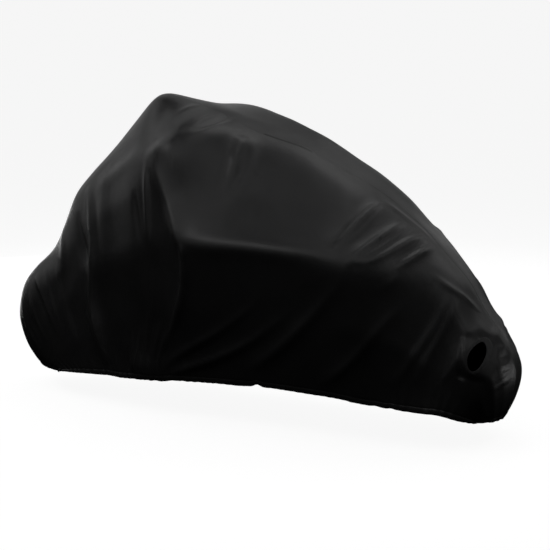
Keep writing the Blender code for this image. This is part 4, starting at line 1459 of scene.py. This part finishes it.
@dataclass
class Studio:
    """Pale floor and surroundings, soft lights all round, and the camera.

    backdrop and floor_glow are how bright the surroundings and the floor look to the camera.
    """

    azimuth: float = 29.0
    elevation: float = 11.0
    distance: float = 7.5
    metres_per_pixel: float = 0.00345
    aim: tuple[float, float, float] = (0.029 - REST_X, 0.0, 0.484 - REST_Z)
    sensor: float = 36.0
    frame_width: int = 550
    far_clip: float = 100.0
    light_centre: tuple[float, float, float] = (0.2, 0.0, -0.45)
    light_distance: float = 3.2
    light_size: float = 1.6
    low_light_size: float = 0.9
    low_elevation: float = 10.0
    backdrop: float = 1.30
    floor_tone: float = 0.30
    floor_roughness: float = 0.9
    floor_glow: float = 0.92
    floor_size: float = 30.0

    @staticmethod
    def direction(azimuth: float, elevation: float) -> Vector:
        """Unit vector towards an azimuth, counted from the near side to the rear, and an elevation."""
        turn, rise = np.radians([azimuth, elevation])
        return Vector((np.sin(turn) * np.cos(rise), -np.cos(turn) * np.cos(rise), np.sin(rise)))

    def camera(self) -> None:
        """Aim a camera so that one picture element spans metres_per_pixel at the aim point."""
        back = self.direction(self.azimuth, self.elevation)
        data = bpy.data.cameras.new("camera")
        data.sensor_width = self.sensor
        data.lens = self.sensor * self.distance / self.metres_per_pixel / self.frame_width
        data.clip_end = self.far_clip
        thing = bpy.data.objects.new("camera", data)
        thing.location = Vector(self.aim) + back * self.distance
        thing.rotation_mode = "QUATERNION"
        thing.rotation_quaternion = (-back).to_track_quat("-Z", "Y")
        bpy.context.scene.collection.objects.link(thing)
        bpy.context.scene.camera = thing

    def lights(self) -> None:
        """Stand the soft lights round the cover."""
        for box in SOFTBOXES:
            data = bpy.data.lights.new("softbox", "AREA")
            data.shape = "DISK"
            data.size = self.light_size if box.elevation > self.low_elevation else self.low_light_size
            data.energy = box.watts
            thing = bpy.data.objects.new("softbox", data)
            away = self.direction(box.azimuth, box.elevation)
            thing.location = Vector(self.light_centre) + away * self.light_distance
            thing.rotation_euler = (-away).to_track_quat("-Z", "Y").to_euler()
            thing.visible_camera = False
            bpy.context.scene.collection.objects.link(thing)

    def surroundings(self) -> None:
        """Show the camera pale surroundings that cast no light of their own: the softboxes give it all.

        The plain view transform keeps the cloth's blacks as they are lit.
        """
        world = bpy.data.worlds.new("studio")
        bpy.context.scene.world = world
        world.use_nodes = True
        tree = world.node_tree
        backdrop = tree.nodes["Background"]
        backdrop.inputs["Color"].default_value = (self.backdrop, self.backdrop, self.backdrop, 1.0)
        path = tree.nodes.new("ShaderNodeLightPath")
        tree.links.new(path.outputs["Is Camera Ray"], backdrop.inputs["Strength"])
        bpy.context.scene.view_settings.view_transform = "Standard"

    def floor(self) -> None:
        """Lay the pale floor at ground level.

        Neither the cloth nor the lights see it: the low softboxes behind the cover stand for what it would
        throw back, and so they may stand below its level.
        """
        mesh = bpy.data.meshes.new("floor")
        size, ground = self.floor_size, -REST_Z
        corners = [(-size, -size, ground), (size, -size, ground), (size, size, ground), (-size, size, ground)]
        mesh.from_pydata(corners, [], [(0, 1, 2, 3)])
        thing = bpy.data.objects.new("floor", mesh)
        bpy.context.scene.collection.objects.link(thing)
        material = bpy.data.materials.new("pale_floor")
        material.use_nodes = True
        shader = material.node_tree.nodes["Principled BSDF"]
        shader.inputs["Base Color"].default_value = (self.floor_tone, self.floor_tone, self.floor_tone, 1.0)
        shader.inputs["Roughness"].default_value = self.floor_roughness
        shader.inputs["Specular IOR Level"].default_value = 0.0
        shader.inputs["Emission Color"].default_value = (1.0, 1.0, 1.0, 1.0)
        shader.inputs["Emission Strength"].default_value = self.floor_glow
        mesh.materials.append(material)
        thing.visible_diffuse = False
        thing.visible_glossy = False
        thing.visible_shadow = False


def main() -> None:
    """Build the cover, then its studio."""
    finishes = Finishes(
        cloth=ClothFinish().material(),
        tape=TapeFinish().material(),
        thread=TapeFinish(name="black_thread", rib=0.0004, rib_depth=0.0001).material(),
    )
    drape = Drape()
    grid = drape.base()
    LOG.info("drape worked out: %d x %d points", *grid.points.shape[:2])
    for side in Side:
        SidePanel(side, drape, grid).build(finishes)
    studio = Studio()
    studio.camera()
    studio.lights()
    studio.surroundings()
    studio.floor()


if __name__ == "__main__":
    main()
